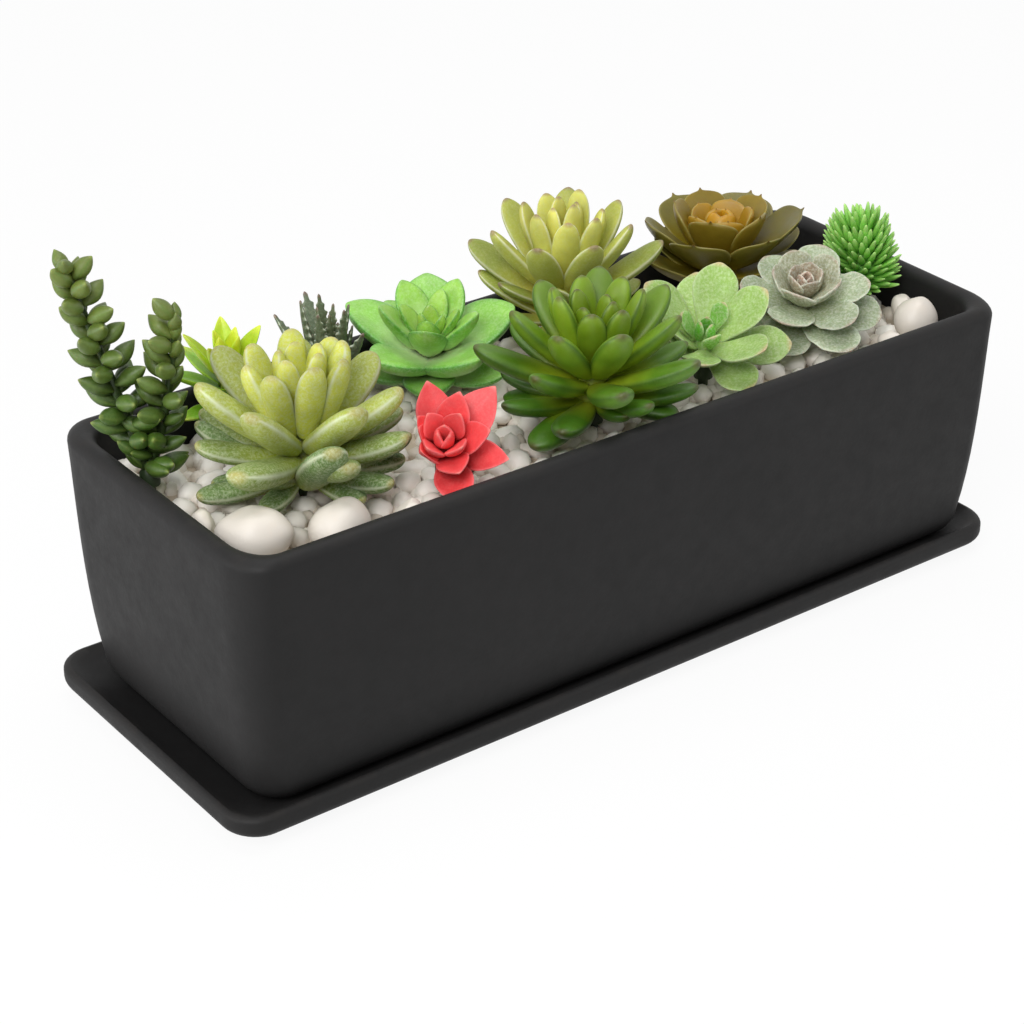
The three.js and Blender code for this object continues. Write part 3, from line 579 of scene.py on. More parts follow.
def make_pot():
    """The pot: a foot ring, a round foot, tapered walls, a round rim, and a floor with two drain holes."""
    foot_z = POT_LOW.z + POT_FOOT_ROUNDING
    foot_inset = wall_inset(foot_z) + POT_FOOT_ROUNDING
    top_z = RIM_Z - POT_RIM_ROUNDING
    floor_z = POT_LOW.z + POT_FLOOR
    ring_inset = foot_inset + POT_FOOT_RING
    floor_inset = wall_inset(floor_z) + POT_WALL
    fillet = POT_FILLET
    steps = [foot_z + (top_z - foot_z) * step / WALL_STEPS for step in range(1, WALL_STEPS)]
    profile = [
        (ring_inset + fillet, POT_LOW.z + POT_FOOT_RECESS),
        (ring_inset, POT_LOW.z + POT_FOOT_RECESS),
        (ring_inset - fillet / 2, POT_LOW.z + fillet / 2),
        (ring_inset - 1.5 * fillet, POT_LOW.z),
        *arc(foot_inset, foot_z, POT_FOOT_ROUNDING, -1, 0),
        *[(wall_inset(z), z) for z in steps],
        *arc(POT_RIM_ROUNDING, top_z, POT_RIM_ROUNDING, 0, 1),
        *arc(POT_WALL - POT_RIM_ROUNDING, top_z, POT_RIM_ROUNDING, 1, 2)[1:],
        (floor_inset - fillet / 2, floor_z + fillet),
        (floor_inset, floor_z),
    ]
    pot = raised(POT_CENTRE, POT_LENGTH, POT_WIDTH, POT_CORNER, profile)
    for side in (-1, 1):
        cut_drain(pot, side * DRAIN_SPACING / 2, floor_z)
    return pot


def cut_drain(pot, along, floor_z):
    """Drills a drain hole through the pot's floor."""
    deselect()
    place = (POT_CENTRE.x + along, POT_CENTRE.y, POT_LOW.z)
    bpy.ops.mesh.primitive_cylinder_add(
        vertices=DRAIN_SIDES, radius=DRAIN_DIAMETER / 2, depth=2 * floor_z, location=place,
    )
    drill = bpy.context.object
    bpy.context.view_layer.objects.active = pot
    hole = pot.modifiers.new("drain", "BOOLEAN")
    hole.object = drill
    hole.operation = "DIFFERENCE"
    bpy.ops.object.modifier_apply(modifier=hole.name)
    bpy.data.objects.remove(drill)


# Leaves

def model_leaf(outline, sides, levels, top):
    """A leaf of unit size along +X, grown from a ring station by station and smoothed: its mesh, and its
    points as shares of length, width and thickness."""
    deselect()
    bpy.ops.mesh.primitive_circle_add(
        vertices=sides, radius=1, fill_type="NGON", rotation=(0, math.pi / 2, 0),
    )
    leaf = bpy.context.object
    bpy.ops.object.transform_apply(location=False, rotation=True, scale=False)
    start_edit()
    place, wide, deep = outline[0]
    bpy.ops.transform.resize(value=(1, wide, deep), center_override=(0, 0, 0))
    for to_place, to_wide, to_deep in outline[1:]:
        extrude((to_place - place, 0, 0), (1, to_wide / wide, to_deep / deep), (to_place, 0, 0))
        place, wide, deep = to_place, to_wide, to_deep
    bpy.ops.mesh.extrude_region_move(TRANSFORM_OT_translate={"value": (1 - place, 0, 0)})
    bpy.ops.mesh.merge(type="CENTER")
    end_edit()
    smooth(leaf, levels)
    bpy.ops.object.shade_smooth()
    mesh = leaf.data
    bpy.data.objects.remove(leaf)
    unit = points_of(mesh)
    unit[:, 0] = (unit[:, 0] - unit[:, 0].min()) / np.ptp(unit[:, 0])
    unit[:, 1:] /= np.abs(unit[:, 1:]).max(axis=0)
    unit[:, 2] *= np.where(unit[:, 2] > 0, top, 1)
    return mesh, unit


def edge_share(unit, outline, top):
    """How near to the leaf's edge each of its points lies: 1 on the edge, and less on the faces above and
    below it."""
    places, widths, depths = (list(column) for column in zip(*outline))
    places.append(1)
    along, across, up = unit.T
    outward = np.abs(across) / np.interp(along, places, widths + widths[-1:])
    thick = np.abs(up) / np.where(up > 0, top, 1)
    off_edge = thick / np.interp(along, places, depths + depths[-1:])
    return np.clip(outward, 0, 1) * (1 - np.clip(off_edge, 0, 1))


def swayed(leaf, dice, sway_pitch=SWAY_PITCH):
    """A leaf that differs a little from its whorl's, with a roll, a sideways sweep and a wave of its own."""
    own = dict(leaf)
    own["pitch"] += dice.uniform(-sway_pitch, sway_pitch)
    own["length"] *= 1 + dice.uniform(-SWAY_LENGTH, SWAY_LENGTH)
    own["roll"] = dice.uniform(-SWAY_ROLL, SWAY_ROLL)
    own["sideways"] = dice.uniform(-SWAY_SIDEWAYS, SWAY_SIDEWAYS)
    own["wave"] = dice.uniform(0, math.tau)
    return own


def bent(unit, plant, leaf, bearing, pitch, share, root):
    """Points of a leaf bent up along its path, at its bearing round the crown's upright axis."""
    place, across, depth = unit.T
    start = math.radians(pitch)
    curl = math.radians(max(leaf["curl"], LEAST_CURL))
    length = leaf["length"] * share
    width = leaf["width"] * share
    slope = start + curl * place
    run = length * (np.sin(slope) - math.sin(start)) / curl
    rise = length * (math.cos(start) - np.cos(slope)) / curl
    edge = plant["cup"] * across ** 2 + plant["fold"] * np.abs(across)
    edge += plant["ruffle"] * across ** 2 * np.sin(RUFFLES * place + leaf["wave"] * np.sign(across))
    flat = across * width
    lift = depth * leaf["thick"] * share + edge * width
    roll = leaf["roll"]
    sweep = leaf["sideways"] * length * place ** 2
    sideways = flat * math.cos(roll) - lift * math.sin(roll) + sweep
    lift = flat * math.sin(roll) + lift * math.cos(roll)
    outward = run - np.sin(slope) * lift
    turn = math.radians(bearing)
    x = root[0] + outward * math.cos(turn) - sideways * math.sin(turn)
    y = root[1] + outward * math.sin(turn) + sideways * math.cos(turn)
    return np.column_stack((x, y, root[2] + rise + np.cos(slope) * lift))


def ground_lines(name):
    """The lines that part a plant's ground from its neighbours': directions, and distances from its axis."""
    ways = []
    limits = []
    for other, place in PLACES.items():
        towards = (place - PLACES[name]).to_2d()
        if other != name:
            line = (towards.length_squared + REACH[name] ** 2 - REACH[other] ** 2) / (2 * towards.length)
            ways.append(towards.normalized())
            limits.append(line - LEAF_GAP)
    return np.array(ways), np.array(limits)


def is_clear(points, name, lines):
    """True where a leaf is clear of its neighbours' ground, the pebbles and the pot's rim, and inside the
    whole object's box."""
    ways, limits = lines
    flat = points[:, :2] - np.array(PLACES[name].to_2d())
    if (flat @ ways.T > limits).any() or (points < BOX_LOW).any() or (points > BOX_HIGH).any():
        return False
    from_middle = np.abs(points[:, :2] - np.array(POT_CENTRE.to_2d()))
    inside = np.array((MOUTH_HALF_LENGTH, MOUTH_HALF_WIDTH)) - LEAF_GAP - POT_TAPER
    lowest = np.where((from_middle > inside).any(axis=1), RIM_Z, GRAVEL_Z)
    for low, high in STONE_BOXES:
        away = np.hypot(*(points[:, :2] - np.array(((low + high) / 2).to_2d())).T)
        near = away < max((high - low).to_2d()) / 2 + LEAF_GAP
        lowest = np.where(near, np.maximum(lowest, high.z), lowest)
    return bool((points[:, 2] > lowest + LEAF_GAP).all())


def placed(unit, plant, leaf, bearing, root, settle, name, lines):
    """Points of a leaf that is made smaller, or stood up, until it is clear of what is round it, or None."""
    free = unit[:, 0] > FREE_ROOT
    for shares in LEAF_SHARES:
        for raise_by in range(0, RAISE_LIMIT + 1, RAISE_STEP):
            pitch = min(leaf["pitch"] + raise_by, max(leaf["pitch"], STEEPEST))
            for share in shares:
                points = settle(bent(unit, plant, leaf, bearing, pitch, share, root))
                if is_clear(points[free], name, lines):
                    return points
    return None


def mark(mesh, place, edge, heart, tone):
    """Notes on each point of a leaf where it is: along the leaf, out to the edge, in towards the heart, and
    the leaf's own tone."""
    values = np.ones((len(mesh.vertices), 4))
    for column, value in enumerate((place, edge, heart, tone)):
        values[:, column] = value
    mesh.attributes.new("leaf", "FLOAT_COLOR", "POINT").data.foreach_set("color", values.ravel())


def leaf_object(mesh, points, place, edge, heart, tone):
    """A leaf with a mesh of its own, at its points."""
    own = mesh.copy()
    own.vertices.foreach_set("co", points.ravel())
    mark(own, place, edge, heart, tone)
    return linked(own)


def turned(place, stations):
    """A body of revolution grown from a ring through radii and heights."""
    deselect()
    radius, z = stations[0]
    bpy.ops.mesh.primitive_circle_add(
        vertices=TURNED_SIDES, radius=radius, fill_type="NGON", location=(place.x, place.y, z),
    )
    body = bpy.context.object
    bpy.ops.object.transform_apply(location=True, rotation=False, scale=False)
    start_edit()
    for to_radius, to_z in stations[1:]:
        share = to_radius / radius
        extrude((0, 0, to_z - z), (share, share, 1), (place.x, place.y, to_z))
        radius, z = to_radius, to_z
    end_edit()
    bpy.ops.object.shade_smooth_by_angle(angle=math.radians(TURNED_CREASE))
    return body


def make_neck(place, height):
    """The short stalk under a head."""
    top_z = PLANT_Z + height
    stations = [(NECK_RADIUS, PLANT_Z), (NECK_RADIUS, top_z), (NECK_RADIUS / 2, top_z + NECK_CAP)]
    neck = turned(place, stations)
    neck.data.materials.append(pick_plastic)
    return neck


def make_crown(plant, settle, vinyl):
    """The core that the leaves grow from, drawn in to a bud."""
    top = plant["whorls"][-1]["height"]
    radius = plant["crown"]
    stations = [(radius, 0), (radius * CROWN_TAPER, top - CROWN_BUD), (radius * CROWN_TAPER / 2, top)]
    crown = turned(Vector(), stations)
    crown.data.vertices.foreach_set("co", settle(points_of(crown.data)).ravel())
    crown.data.materials.append(vinyl)
    mark(crown.data, 0, 0, CROWN_HEART, CROWN_TONE)
    return crown


def make_head(name, plant, vinyl):
    """A plant's head: its stalk, its core, and its whorls of leaves, each leaf clear of what is round it."""
    dice = random.Random(name)
    place = PLACES[name]
    pivot = np.array((place.x, place.y, PLANT_Z + plant["neck"]))
    lean = math.radians(plant["lean"])
    tilt = np.array(Matrix.Rotation(math.radians(plant["tilt"]), 3, (-math.sin(lean), math.cos(lean), 0)))

    def settle(points):
        return points @ tilt.T + pivot

    mesh, unit = model_leaf(plant["outline"], plant["sides"], plant["levels"], plant["top"])
    mesh.materials.append(vinyl)
    edge = edge_share(unit, plant["outline"], plant["top"])
    lines = ground_lines(name)
    parts = [make_neck(place, plant["neck"]), make_crown(plant, settle, vinyl)]
    for layer, leaf in enumerate(plant["whorls"]):
        heart = layer / (len(plant["whorls"]) - 1)
        out = plant["crown"] * ROOT_SHARE if leaf["out"] is None else leaf["out"]
        for i in range(leaf["count"]):
            own = swayed(leaf, dice)
            bearing = leaf["bearing"] + 360 * i / leaf["count"] + dice.uniform(-SWAY_BEARING, SWAY_BEARING)
            turn = math.radians(bearing)
            root = (out * math.cos(turn), out * math.sin(turn), leaf["height"])
            points = placed(unit, plant, own, bearing, root, settle, name, lines)
            tone = dice.random()
            if points is not None:
                parts.append(leaf_object(mesh, points, unit[:, 0], edge, heart, tone))
    bpy.data.meshes.remove(mesh)
    return join(parts)


def branch_points(branch, root, count):
    """Points along a branch, evenly spaced, and its length."""
    tip = root + branch["tip"]
    middle = (root + tip) / 2 + branch["bow"]
    start, middle, end = (np.array(point) for point in (root, middle, tip))
    steps = np.linspace(0, 1, CURVE_FINENESS * count)[:, None]
    curve = (1 - steps) ** 2 * start + 2 * steps * (1 - steps) * middle + steps ** 2 * end
    walked = np.concatenate(([0], np.cumsum(np.linalg.norm(np.diff(curve, axis=0), axis=1))))
    wanted = np.linspace(0, walked[-1], count)
    return np.column_stack([np.interp(wanted, walked, curve[:, axis]) for axis in range(3)]), walked[-1]


def make_branch(path, vinyl):
    """A tapering stem grown along its path from a ring."""
    deselect()
    bpy.ops.mesh.primitive_circle_add(
        vertices=SEDUM_BRANCH_SIDES, radius=SEDUM_BRANCH_RADIUS, fill_type="NGON", location=tuple(path[0]),
    )
    stem = bpy.context.object
    bpy.ops.object.transform_apply(location=True, rotation=False, scale=False)
    start_edit()
    thinner = SEDUM_BRANCH_TAPER ** (1 / len(path))
    for low, high in zip(path, path[1:]):
        extrude(tuple(high - low), (thinner, thinner, 1), tuple(high))
    end_edit()
    bpy.ops.object.shade_smooth()
    stem.data.materials.append(vinyl)
    mark(stem.data, 0, 0, 0, 0)
    return stem


def make_sedum(vinyl):
    """The trailing sedum's head: its stalk, and its branches with their leaves."""
    dice = random.Random(SEDUM)
    place = PLACES[SEDUM]
    mesh, unit = model_leaf(TEARDROP, SEDUM_LEAF_SIDES, SEDUM_LEAF_LEVELS, SEDUM_LEAF_TOP)
    mesh.materials.append(vinyl)
    edge = edge_share(unit, TEARDROP, SEDUM_LEAF_TOP)
    lines = ground_lines(SEDUM)
    root = Vector((place.x, place.y, PLANT_Z + SEDUM_NECK))
    plain = dict(cup=0, fold=0, ruffle=0)
    parts = [make_neck(place, SEDUM_NECK)]
    for branch in SEDUM_BRANCHES:
        path, length = branch_points(branch, root, SEDUM_BRANCH_STEPS)
        parts.append(make_branch(path, vinyl))
        spots, _ = branch_points(branch, root, int(length) + 1)
        leaves = int(length / SEDUM_LEAF_STEP)
        for i in range(leaves + 1):
            spot = spots[int(i * SEDUM_LEAF_STEP)]
            own = swayed(SEDUM_LEAF, dice, SEDUM_SWAY)
            own["pitch"] += SEDUM_RISE * i / leaves
            own["length"] *= 1 + (SEDUM_TIP_SHARE - 1) * i / leaves
            bearing = SEDUM_SPIRAL * i + dice.uniform(-SEDUM_SWAY, SEDUM_SWAY)
            points = placed(unit, plain, own, bearing, spot, lambda points: points, SEDUM, lines)
            tone = dice.random()
            if points is not None:
                parts.append(leaf_object(mesh, points, unit[:, 0], edge, i / leaves, tone))
    bpy.data.meshes.remove(mesh)
    return join(parts)


# Stones, pebbles and picks

def model_pick():
    """A moulded pick with a point and gripping ridges, on the upright axis."""
    low, high = corners(SEDUM + "_pick")
    core = PICK_RADIUS - PICK_RIDGE
    z = low.z + PICK_POINT
    stations = [(PICK_RIDGE, low.z), (core, z)]
    while z + PICK_RIDGE_STEP < high.z:
        z += PICK_RIDGE_STEP
        stations += [(core, z - PICK_RIDGE_BASE), (PICK_RADIUS, z - PICK_RIDGE_BASE / 2), (core, z)]
    stations += [(core, high.z - PICK_RIDGE), (core - PICK_RIDGE, high.z)]
    return turned(Vector(), stations)


def make_pick(pattern, place):
    """A pick like the pattern, stood in its place."""
    mesh = pattern.copy()
    mesh.transform(Matrix.Translation((place.x, place.y, 0)))
    return linked(mesh)


def tint(mesh, tone):
    """Notes a tone on a piece's points: the stones' and pebbles' own tint, and painted shade on the fillers
    and the bed.
    """
    tones = np.full(len(mesh.vertices), tone)
    mesh.attributes.new("tone", "FLOAT", "POINT").data.foreach_set("value", tones)


def make_stone(name, seed):
    """A large tumbled pebble, from a merged copy of its plain solid, knocked about and smoothed."""
    deselect()
    stone = linked(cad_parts[name].data.copy())
    stone.data.transform(Matrix.Scale(1 / MM, 4))
    stone.select_set(True)
    bpy.context.view_layer.objects.active = stone
    bpy.ops.mesh.customdata_custom_splitnormals_clear()
    start_edit()
    bpy.ops.mesh.remove_doubles(threshold=MERGE_DISTANCE)
    bpy.ops.mesh.tris_convert_to_quads()
    bpy.ops.transform.vertex_random(seed=seed, **STONE_KNOCKS)
    bpy.ops.object.mode_set(mode="OBJECT")
    smooth(stone, STONE_LEVELS)
    bpy.ops.object.shade_smooth()
    tint(stone.data, STONE_CREAM)
    return stone


def model_pebble(seed):
    """A small tumbled pebble of unit size."""
    deselect()
    bpy.ops.mesh.primitive_uv_sphere_add(segments=PEBBLE_SIDES, ring_count=PEBBLE_RINGS, radius=1)
    pebble = bpy.context.object
    start_edit()
    bpy.ops.transform.vertex_random(seed=seed, **PEBBLE_KNOCKS)
    bpy.ops.mesh.vertices_smooth(factor=PEBBLE_SMOOTHING)
    bpy.ops.object.mode_set(mode="OBJECT")
    bpy.ops.object.shade_smooth()
    mesh = pebble.data
    bpy.data.objects.remove(pebble)
    points = points_of(mesh)
    mesh.vertices.foreach_set("co", (points / np.abs(points).max(axis=0)).ravel())
    return mesh


def scatter(row, column, way):
    """A share from 0 to 1 that differs from pebble to pebble."""
    number = (row + PEBBLE_ROW_NUMBERS // 2) * PEBBLE_ROW_NUMBERS + column + PEBBLE_ROW_NUMBERS // 2
    return number * number * PEBBLE_SCATTER[way] % 1


def pebble_top(row, column):
    """The highest point of a pebble in the bed."""
    x = POT_CENTRE.x + (column + row % 2 / 2) * PEBBLE_SPACING
    x += PEBBLE_SWAY * (2 * scatter(row, column, "along") - 1)
    y = POT_CENTRE.y + row * PEBBLE_ROW
    y += PEBBLE_SWAY * (2 * scatter(row, column, "across") - 1)
    return Vector((x, y, GRAVEL_Z - PEBBLE_DROP * scatter(row, column, "down")))


def is_free(place, half):
    """True where a small pebble lies in the pot's mouth, clear of the large ones."""
    off = place - POT_CENTRE
    if abs(off.x) >= MOUTH_HALF_LENGTH or abs(off.y) >= MOUTH_HALF_WIDTH:
        return False
    for low, high in STONE_BOXES:
        away = (place - (low + high) / 2).to_2d()
        reach = (high - low).to_2d() / 2 + Vector((half, half)) * STONE_OVERLAP
        if math.hypot(away.x / reach.x, away.y / reach.y) < 1:
            return False
    return True


def make_pebble(kinds, dice, top, halves, cream_and_shade):
    """A pebble of half sizes under its highest point, kept off the pot's wall, with its tone, which for a
    filler is painted shade.
    """
    long, broad, tall = halves
    room = (MOUTH_HALF_LENGTH - long - PEBBLE_WALL_GAP, MOUTH_HALF_WIDTH - long - PEBBLE_WALL_GAP)
    off = top - POT_CENTRE
    x = POT_CENTRE.x + max(-room[0], min(room[0], off.x))
    y = POT_CENTRE.y + max(-room[1], min(room[1], off.y))
    turn = Matrix.Rotation(dice.uniform(0, math.tau), 4, "Z")
    lean = Matrix.Rotation(dice.uniform(-PEBBLE_LEAN, PEBBLE_LEAN), 4, "X")
    size = Matrix.Diagonal((long, broad, tall, 1))
    mesh = dice.choice(kinds).copy()
    mesh.transform(Matrix.Translation((x, y, top.z - tall)) @ turn @ lean @ size)
    tint(mesh, dice.uniform(*cream_and_shade))
    return linked(mesh)


def make_bed():
    """The deeper layer under the loose pebbles, tinted darker as painted shade in the gaps between them."""
    low = (POT_WALL + POT_TAPER, GRAVEL_LOW.z)
    high = (POT_WALL + PEBBLE_WALL_GAP, GRAVEL_Z - BED_DROP)
    bed = raised(POT_CENTRE, POT_LENGTH, POT_WIDTH, POT_CORNER, [low, high])
    tint(bed.data, BED_PAINTED_SHADE)
    return bed


def make_pebbles():
    """The loose white pebbles, in staggered rows with smaller ones in the grooves between them, darker as
    painted shade.
    """
    dice = random.Random(PEBBLE_SEED)
    kinds = [model_pebble(seed) for seed in range(PEBBLE_KINDS)]
    parts = [make_bed()]
    pebble_sizes = (PEBBLE_LONG, PEBBLE_BROAD, PEBBLE_TALL)
    filler_sizes = (FILLER_HALF, FILLER_HALF, FILLER_HALF)
    grooves = [
        Vector((PEBBLE_SPACING / 2, PEBBLE_ROW / 3, -FILLER_DROP)),
        Vector((0, PEBBLE_ROW * 2 / 3, -FILLER_DROP)),
    ]
    rows = int(MOUTH_HALF_WIDTH / PEBBLE_ROW) + 1
    columns = int(MOUTH_HALF_LENGTH / PEBBLE_SPACING) + 1
    for row in range(-rows, rows + 1):
        for column in range(-columns, columns + 1):
            top = pebble_top(row, column)
            spots = [(top, pebble_sizes, PEBBLE_CREAM)]
            # The fillers in the grooves take a darker tone, painted shade between the pebbles.
            spots += [(top + groove, filler_sizes, FILLER_PAINTED_SHADE) for groove in grooves]
            for spot, spans, cream_and_shade in spots:
                stray = [dice.uniform(-PEBBLE_STRAY, PEBBLE_STRAY) for _ in range(2)]
                place = spot + Vector((*stray, 0))
                halves = [dice.uniform(*span) for span in spans]
                if is_free(place, halves[0]):
                    parts.append(make_pebble(kinds, dice, place, halves, cream_and_shade))
    return join(parts)


# Materials

# How much leaves differ in brightness from one another and across one leaf, and in roughness
LEAF_TONES = (0.86, 1.14)
LEAF_CLOUDS = (0.88, 1.1)
ROUGH_SPREAD = 0.08


def matte_ceramic(name, edge_z):
    """Unglazed black slip-cast ceramic: soft mottling, a dull sheen, and a browner burnish on the edge at
    edge_z."""
    material, tree, shader = new_material(name)
    scuffs = noise(tree, 7, detail=5, roughness=0.7)
    height = node(tree, "SeparateXYZ", {"Vector": node(tree, "TexCoord").outputs["Object"]}).outputs["Z"]
    at_edge = ramp(tree, height, (edge_z - BURNISH_DEPTH) * MM, edge_z * MM)
    rubbed = ramp(tree, scuffs, 0.45, 0.7, high=0.22)
    worn = node(tree, "Math", {0: at_edge, 1: rubbed}, operation="MULTIPLY")
    colour = mix(tree, noise(tree, 38, detail=4, roughness=0.6), "#1c1c1c", "#232222")
    colour = mix(tree, worn.outputs["Value"], colour, "#403b37")
    finish(
        tree, shader, Base_Color=colour, Roughness=ramp(tree, scuffs, 0.3, 0.7, 0.48, 0.62), IOR=1.5,
        Specular_IOR_Level=0.16, Normal=bump(tree, noise(tree, 1.2), 0.12, 0.4),
    )
    return material


def tumbled_marble(name):
    """White tumbled marble chips: chalky, creamy in places, with a faint grain; the tone attribute gives
    their own creamy tint, and painted shade on the filler pebbles and the bed below them.
    """
    material, tree, shader = new_material(name)
    tone = node(tree, "Attribute", attribute_name="tone").outputs["Fac"]
    # The darker end: an own creamy tint on stones and pebbles, painted shade on the fillers and the bed.
    colour = mix(tree, tone, "#fdf9f2", "#a8947a")
    patches = ramp(tree, noise(tree, 5, detail=4, roughness=0.6), 0.52, 0.78, high=0.3)
    colour = mix(tree, patches, colour, "#ead9c6")
    finish(tree, shader, Base_Color=colour, Roughness=0.45, Normal=bump(tree, noise(tree, 0.8), 0.2, 0.3))
    return material


def leaf_vinyl(name, root, body, edge, tip, heart, bloom, edge_from, rough, tip_from=0.92, frost=0.1):
    """Soft moulded vinyl, spray tinted: a root of its own colour, a tinted margin from edge_from and tip
    from tip_from, a heart of its own colour, and a powdery bloom in fine speckles, as strong as frost."""
    material, tree, shader = new_material(name)
    leaf = node(tree, "Attribute", attribute_name="leaf")
    place, outward, inward = node(tree, "SeparateColor", {"Color": leaf.outputs["Color"]}).outputs
    mottle = noise(tree, 6)
    grain = noise(tree, 0.9, roughness=0.7)
    colour = mix(tree, ramp(tree, place, 0.1, 0.62), root, body)
    colour = mix(tree, ramp(tree, inward, 0.3, 0.9, high=0.9), colour, heart)
    colour = mix(tree, ramp(tree, outward, edge_from, 1, high=0.8), colour, edge)
    colour = mix(tree, ramp(tree, place, tip_from, 0.99, high=0.75), colour, tip)
    colour = mix(tree, ramp(tree, grain, 0.42, 0.66, high=frost), colour, bloom)
    tone = ramp(tree, leaf.outputs["Alpha"], 0, 1, *LEAF_TONES)
    clouds = ramp(tree, mottle, 0.3, 0.7, *LEAF_CLOUDS)
    shade = node(tree, "Math", {0: tone, 1: clouds}, operation="MULTIPLY").outputs["Value"]
    colour = node(tree, "HueSaturation", {"Value": shade, "Color": colour}).outputs["Color"]
    dullness = ramp(tree, mottle, 0.3, 0.7, rough - ROUGH_SPREAD, rough + ROUGH_SPREAD)
    finish(
        tree, shader, Base_Color=colour, Roughness=dullness, IOR=1.45, Subsurface_Weight=0.08,
        Subsurface_Scale=0.002, Normal=bump(tree, grain, 0.2, 0.3),
    )
    return material


def plain_moulding(name, dark, light, grain_size, rough):
    """A moulded or foamed plastic with an even grain."""
    material, tree, shader = new_material(name)
    grain = noise(tree, grain_size)
    finish(
        tree, shader, Base_Color=mix(tree, grain, dark, light), Roughness=rough,
        Normal=bump(tree, grain, 0.4, grain_size / 3),
    )
    return material


# Colours of each plant's vinyl
FINISHES = {
    "lime_sprout": dict(
        root="#3f6d08", body="#79b210", edge="#9cc81c", tip="#dbe650", heart="#c6d41a", bloom="#e0ee8a",
        edge_from=0.2, tip_from=0.75, rough=0.42,
    ),
    "frosted_rosette": dict(
        root="#93a030", body="#5a7636", edge="#cbd1b4", tip="#aba260", heart="#d0d24e", bloom="#c2cbab",
        edge_from=0.68, tip_from=0.95, frost=0.5, rough=0.62,
    ),
    "toothed_haworthia": dict(
        root="#4a5638", body="#505d44", edge="#c9d0bc", tip="#7a5654", heart="#5f6a48", bloom="#97a287",
        edge_from=0.5, frost=0.3, rough=0.5,
    ),
    "green_echeveria": dict(
        root="#dcebbd", body="#8cc650", edge="#2f8a18", tip="#7ab548", heart="#a9d24c", bloom="#e2f2cf",
        edge_from=0.1, frost=0.2, rough=0.36,
    ),
    "coral_rosette": dict(
        root="#b52a30", body="#ec4548", edge="#f7777a", tip="#f9938c", heart="#f05a5c", bloom="#f9a29c",
        edge_from=0.4, rough=0.45,
    ),
    "pale_rosette": dict(
        root="#b8b23e", body="#8f9b38", edge="#e2e5c0", tip="#86645c", heart="#d9d566", bloom="#c6cb9a",
        edge_from=0.7, tip_from=0.95, frost=0.25, rough=0.55,
    ),
    "green_rosette": dict(
        root="#9aa81e", body="#3f6a10", edge="#33560f", tip="#4a3f24", heart="#7c981a", bloom="#7f983e",
        edge_from=0.5, tip_from=0.95, rough=0.45,
    ),
    "mint_rosette": dict(
        root="#a9c46e", body="#93b45a", edge="#c6d8a4", tip="#c9a687", heart="#5cb51c", bloom="#d3dfb8",
        edge_from=0.4, frost=0.45, rough=0.58,
    ),
    "amber_rosette": dict(
        root="#94801a", body="#6a621a", edge="#9a9250", tip="#6a4a18", heart="#cf9616", bloom="#857b34",
        edge_from=0.6, tip_from=0.96, rough=0.42,
    ),
    "dusty_echeveria": dict(
        root="#98a476", body="#98a782", edge="#d6dac8", tip="#b39c8e", heart="#9a7868", bloom="#dcdfcf",
        edge_from=0.3, frost=0.6, rough=0.68,
    ),
    "hedgehog_sedum": dict(
        root="#55a024", body="#74bc3e", edge="#8cc858", tip="#b6de86", heart="#80c44a", bloom="#bfe49a",
        edge_from=0, tip_from=0.6, rough=0.5,
    ),
    SEDUM: dict(
        root="#22360e", body="#3e5a1a", edge="#566e2c", tip="#86944a", heart="#62702e", bloom="#7d9050",
        edge_from=0.6, tip_from=0.9, frost=0.15, rough=0.45,
    ),
}

# The studio
CAMERA_PLACE = Vector((-470.03, -611.56, 468.62))
CAMERA_TARGET = Vector((-8.63, 6.61, 40.81))
CAMERA_LENS = 91.97
CAMERA_SENSOR = 36
FLOOR_SIZE = 12000
FLOOR_GLOW = 0.92
WORLD_LIGHT = 0.24
LAMPS = {
    "key": dict(place=Vector((-950, -650, 1150)), size=700, watts=15),
    "top": dict(place=Vector((150, 100, 1450)), size=1000, watts=9),
    "side": dict(place=Vector((-1400, 250, 350)), size=700, watts=8.5),
    "fill": dict(place=Vector((900, -900, 500)), size=900, watts=2.4),
}


def seen_plainly(tree):
    """1 for what the camera sees, straight or in a reflection or through a clear body, and 0 for other
    light."""
    path = node(tree, "LightPath").outputs
    rays = {0: path["Is Glossy Ray"], 1: path["Is Transmission Ray"]}
    mirrored = node(tree, "Math", rays, operation="MAXIMUM")
    seen = node(tree, "Math", {0: path["Is Camera Ray"], 1: mirrored.outputs["Value"]}, operation="MAXIMUM")
    return seen.outputs["Value"]


def make_floor():
    """A plain white floor that shows white to the camera and keeps a soft shadow."""
    deselect()
    bpy.ops.mesh.primitive_plane_add(size=FLOOR_SIZE * MM)
    floor = bpy.context.object
    floor.name = "floor"
    material, tree, shader = new_material("white_floor")
    finish(tree, shader, Base_Color=hex_colour("#f4f4f4"), Roughness=0.9)
    share = node(tree, "Math", {0: seen_plainly(tree), 1: FLOOR_GLOW}, operation="MULTIPLY")
    glow = node(tree, "Emission", {"Color": hex_colour("#ffffff"), "Strength": 1})
    layers = {0: share.outputs["Value"], 1: shader.outputs["BSDF"], 2: glow.outputs["Emission"]}
    both = node(tree, "MixShader", layers)
    tree.links.new(both.outputs["Shader"], tree.nodes["Material Output"].inputs["Surface"])
    floor.data.materials.append(material)


def make_world():
    """Soft white surroundings, plain white to the camera."""
    world = bpy.data.worlds.new("studio")
    bpy.context.scene.world = world
    world.use_nodes = True
    tree = world.node_tree
    sky = tree.nodes["Background"]
    sky.inputs["Color"].default_value = hex_colour("#ffffff")
    tree.links.new(ramp(tree, seen_plainly(tree), 0, 1, WORLD_LIGHT, 1), sky.inputs["Strength"])


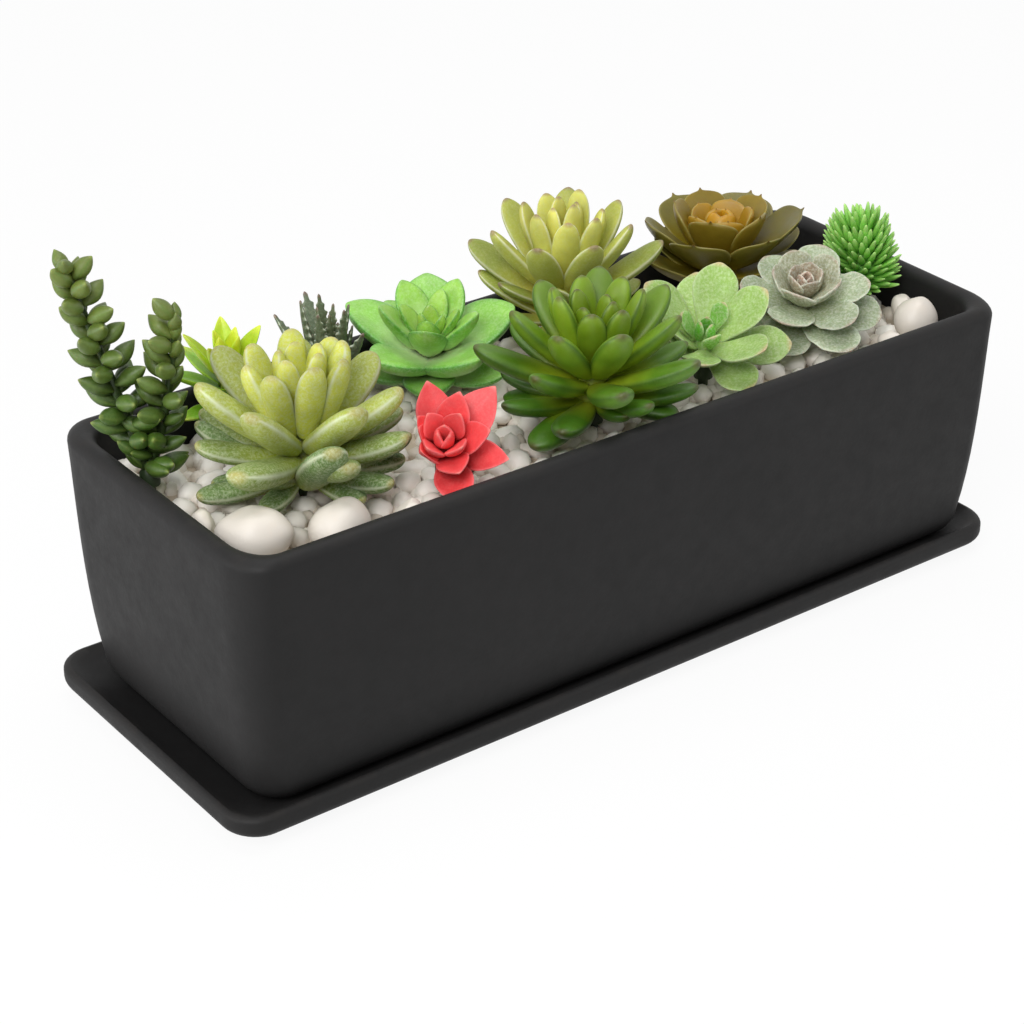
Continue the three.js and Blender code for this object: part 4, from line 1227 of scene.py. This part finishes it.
def make_lamp(name, place, size, watts):
    """A square soft box that faces the object."""
    lamp = bpy.data.lights.new(name, "AREA")
    lamp.shape = "SQUARE"
    lamp.size = size * MM
    lamp.energy = watts
    holder = bpy.data.objects.new(name, lamp)
    holder.location = place * MM
    holder.rotation_mode = "QUATERNION"
    holder.rotation_quaternion = (CAMERA_TARGET - place).to_track_quat("-Z", "Y")
    bpy.context.scene.collection.objects.link(holder)


def make_camera():
    """The camera, from the front left and above."""
    camera = bpy.data.objects.new("camera", bpy.data.cameras.new("camera"))
    camera.data.lens = CAMERA_LENS
    camera.data.sensor_width = CAMERA_SENSOR
    camera.location = CAMERA_PLACE * MM
    camera.rotation_mode = "QUATERNION"
    camera.rotation_quaternion = (CAMERA_TARGET - CAMERA_PLACE).to_track_quat("-Z", "Y")
    bpy.context.scene.collection.objects.link(camera)
    bpy.context.scene.camera = camera


make_camera()
make_floor()
make_world()
for lamp_name, lamp in LAMPS.items():
    make_lamp(lamp_name, **lamp)
bpy.context.scene.view_settings.view_transform = "Standard"

saucer_ceramic = matte_ceramic("black_ceramic_saucer", SAUCER_HIGH.z)
pot_ceramic = matte_ceramic("black_ceramic_pot", RIM_Z)
marble = tumbled_marble("tumbled_white_marble")
pick_plastic = plain_moulding("moulded_green_polythene", "#1d2b14", "#2b3c1f", grain_size=2, rough=0.5)
foam = plain_moulding("dry_floral_foam", "#5d6b3e", "#7b8858", grain_size=1, rough=0.95)

dress(make_saucer(), "saucer_ceramic", "saucer", saucer_ceramic, "black_ceramic", "saucer")
dress(make_pot(), "pot_ceramic", "pot", pot_ceramic, "black_ceramic", "pot")
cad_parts["foam_block"].data.materials.clear()
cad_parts["foam_block"].data.materials.append(foam)

for plant_name, colours in FINISHES.items():
    vinyl = leaf_vinyl(plant_name + "_vinyl", **colours)
    head = make_sedum(vinyl) if plant_name == SEDUM else make_head(plant_name, PLANTS[plant_name], vinyl)
    dress(head, plant_name + "_leaves", plant_name, None, plant_name + "_leaf", plant_name)

pick_pattern = model_pick()
for plant_name, place in PLACES.items():
    pick = make_pick(pick_pattern.data, place)
    dress(pick, plant_name + "_stake", plant_name, pick_plastic, "green_pick", plant_name + "_pick")
bpy.data.objects.remove(pick_pattern)

for seed, stone_name in enumerate(STONES):
    dress(make_stone(stone_name, seed), stone_name + "_stone", "pot", marble, "white_pebbles", stone_name)
dress(make_pebbles(), "pebble_bed", "pot", marble, "white_pebbles", "gravel_bed")
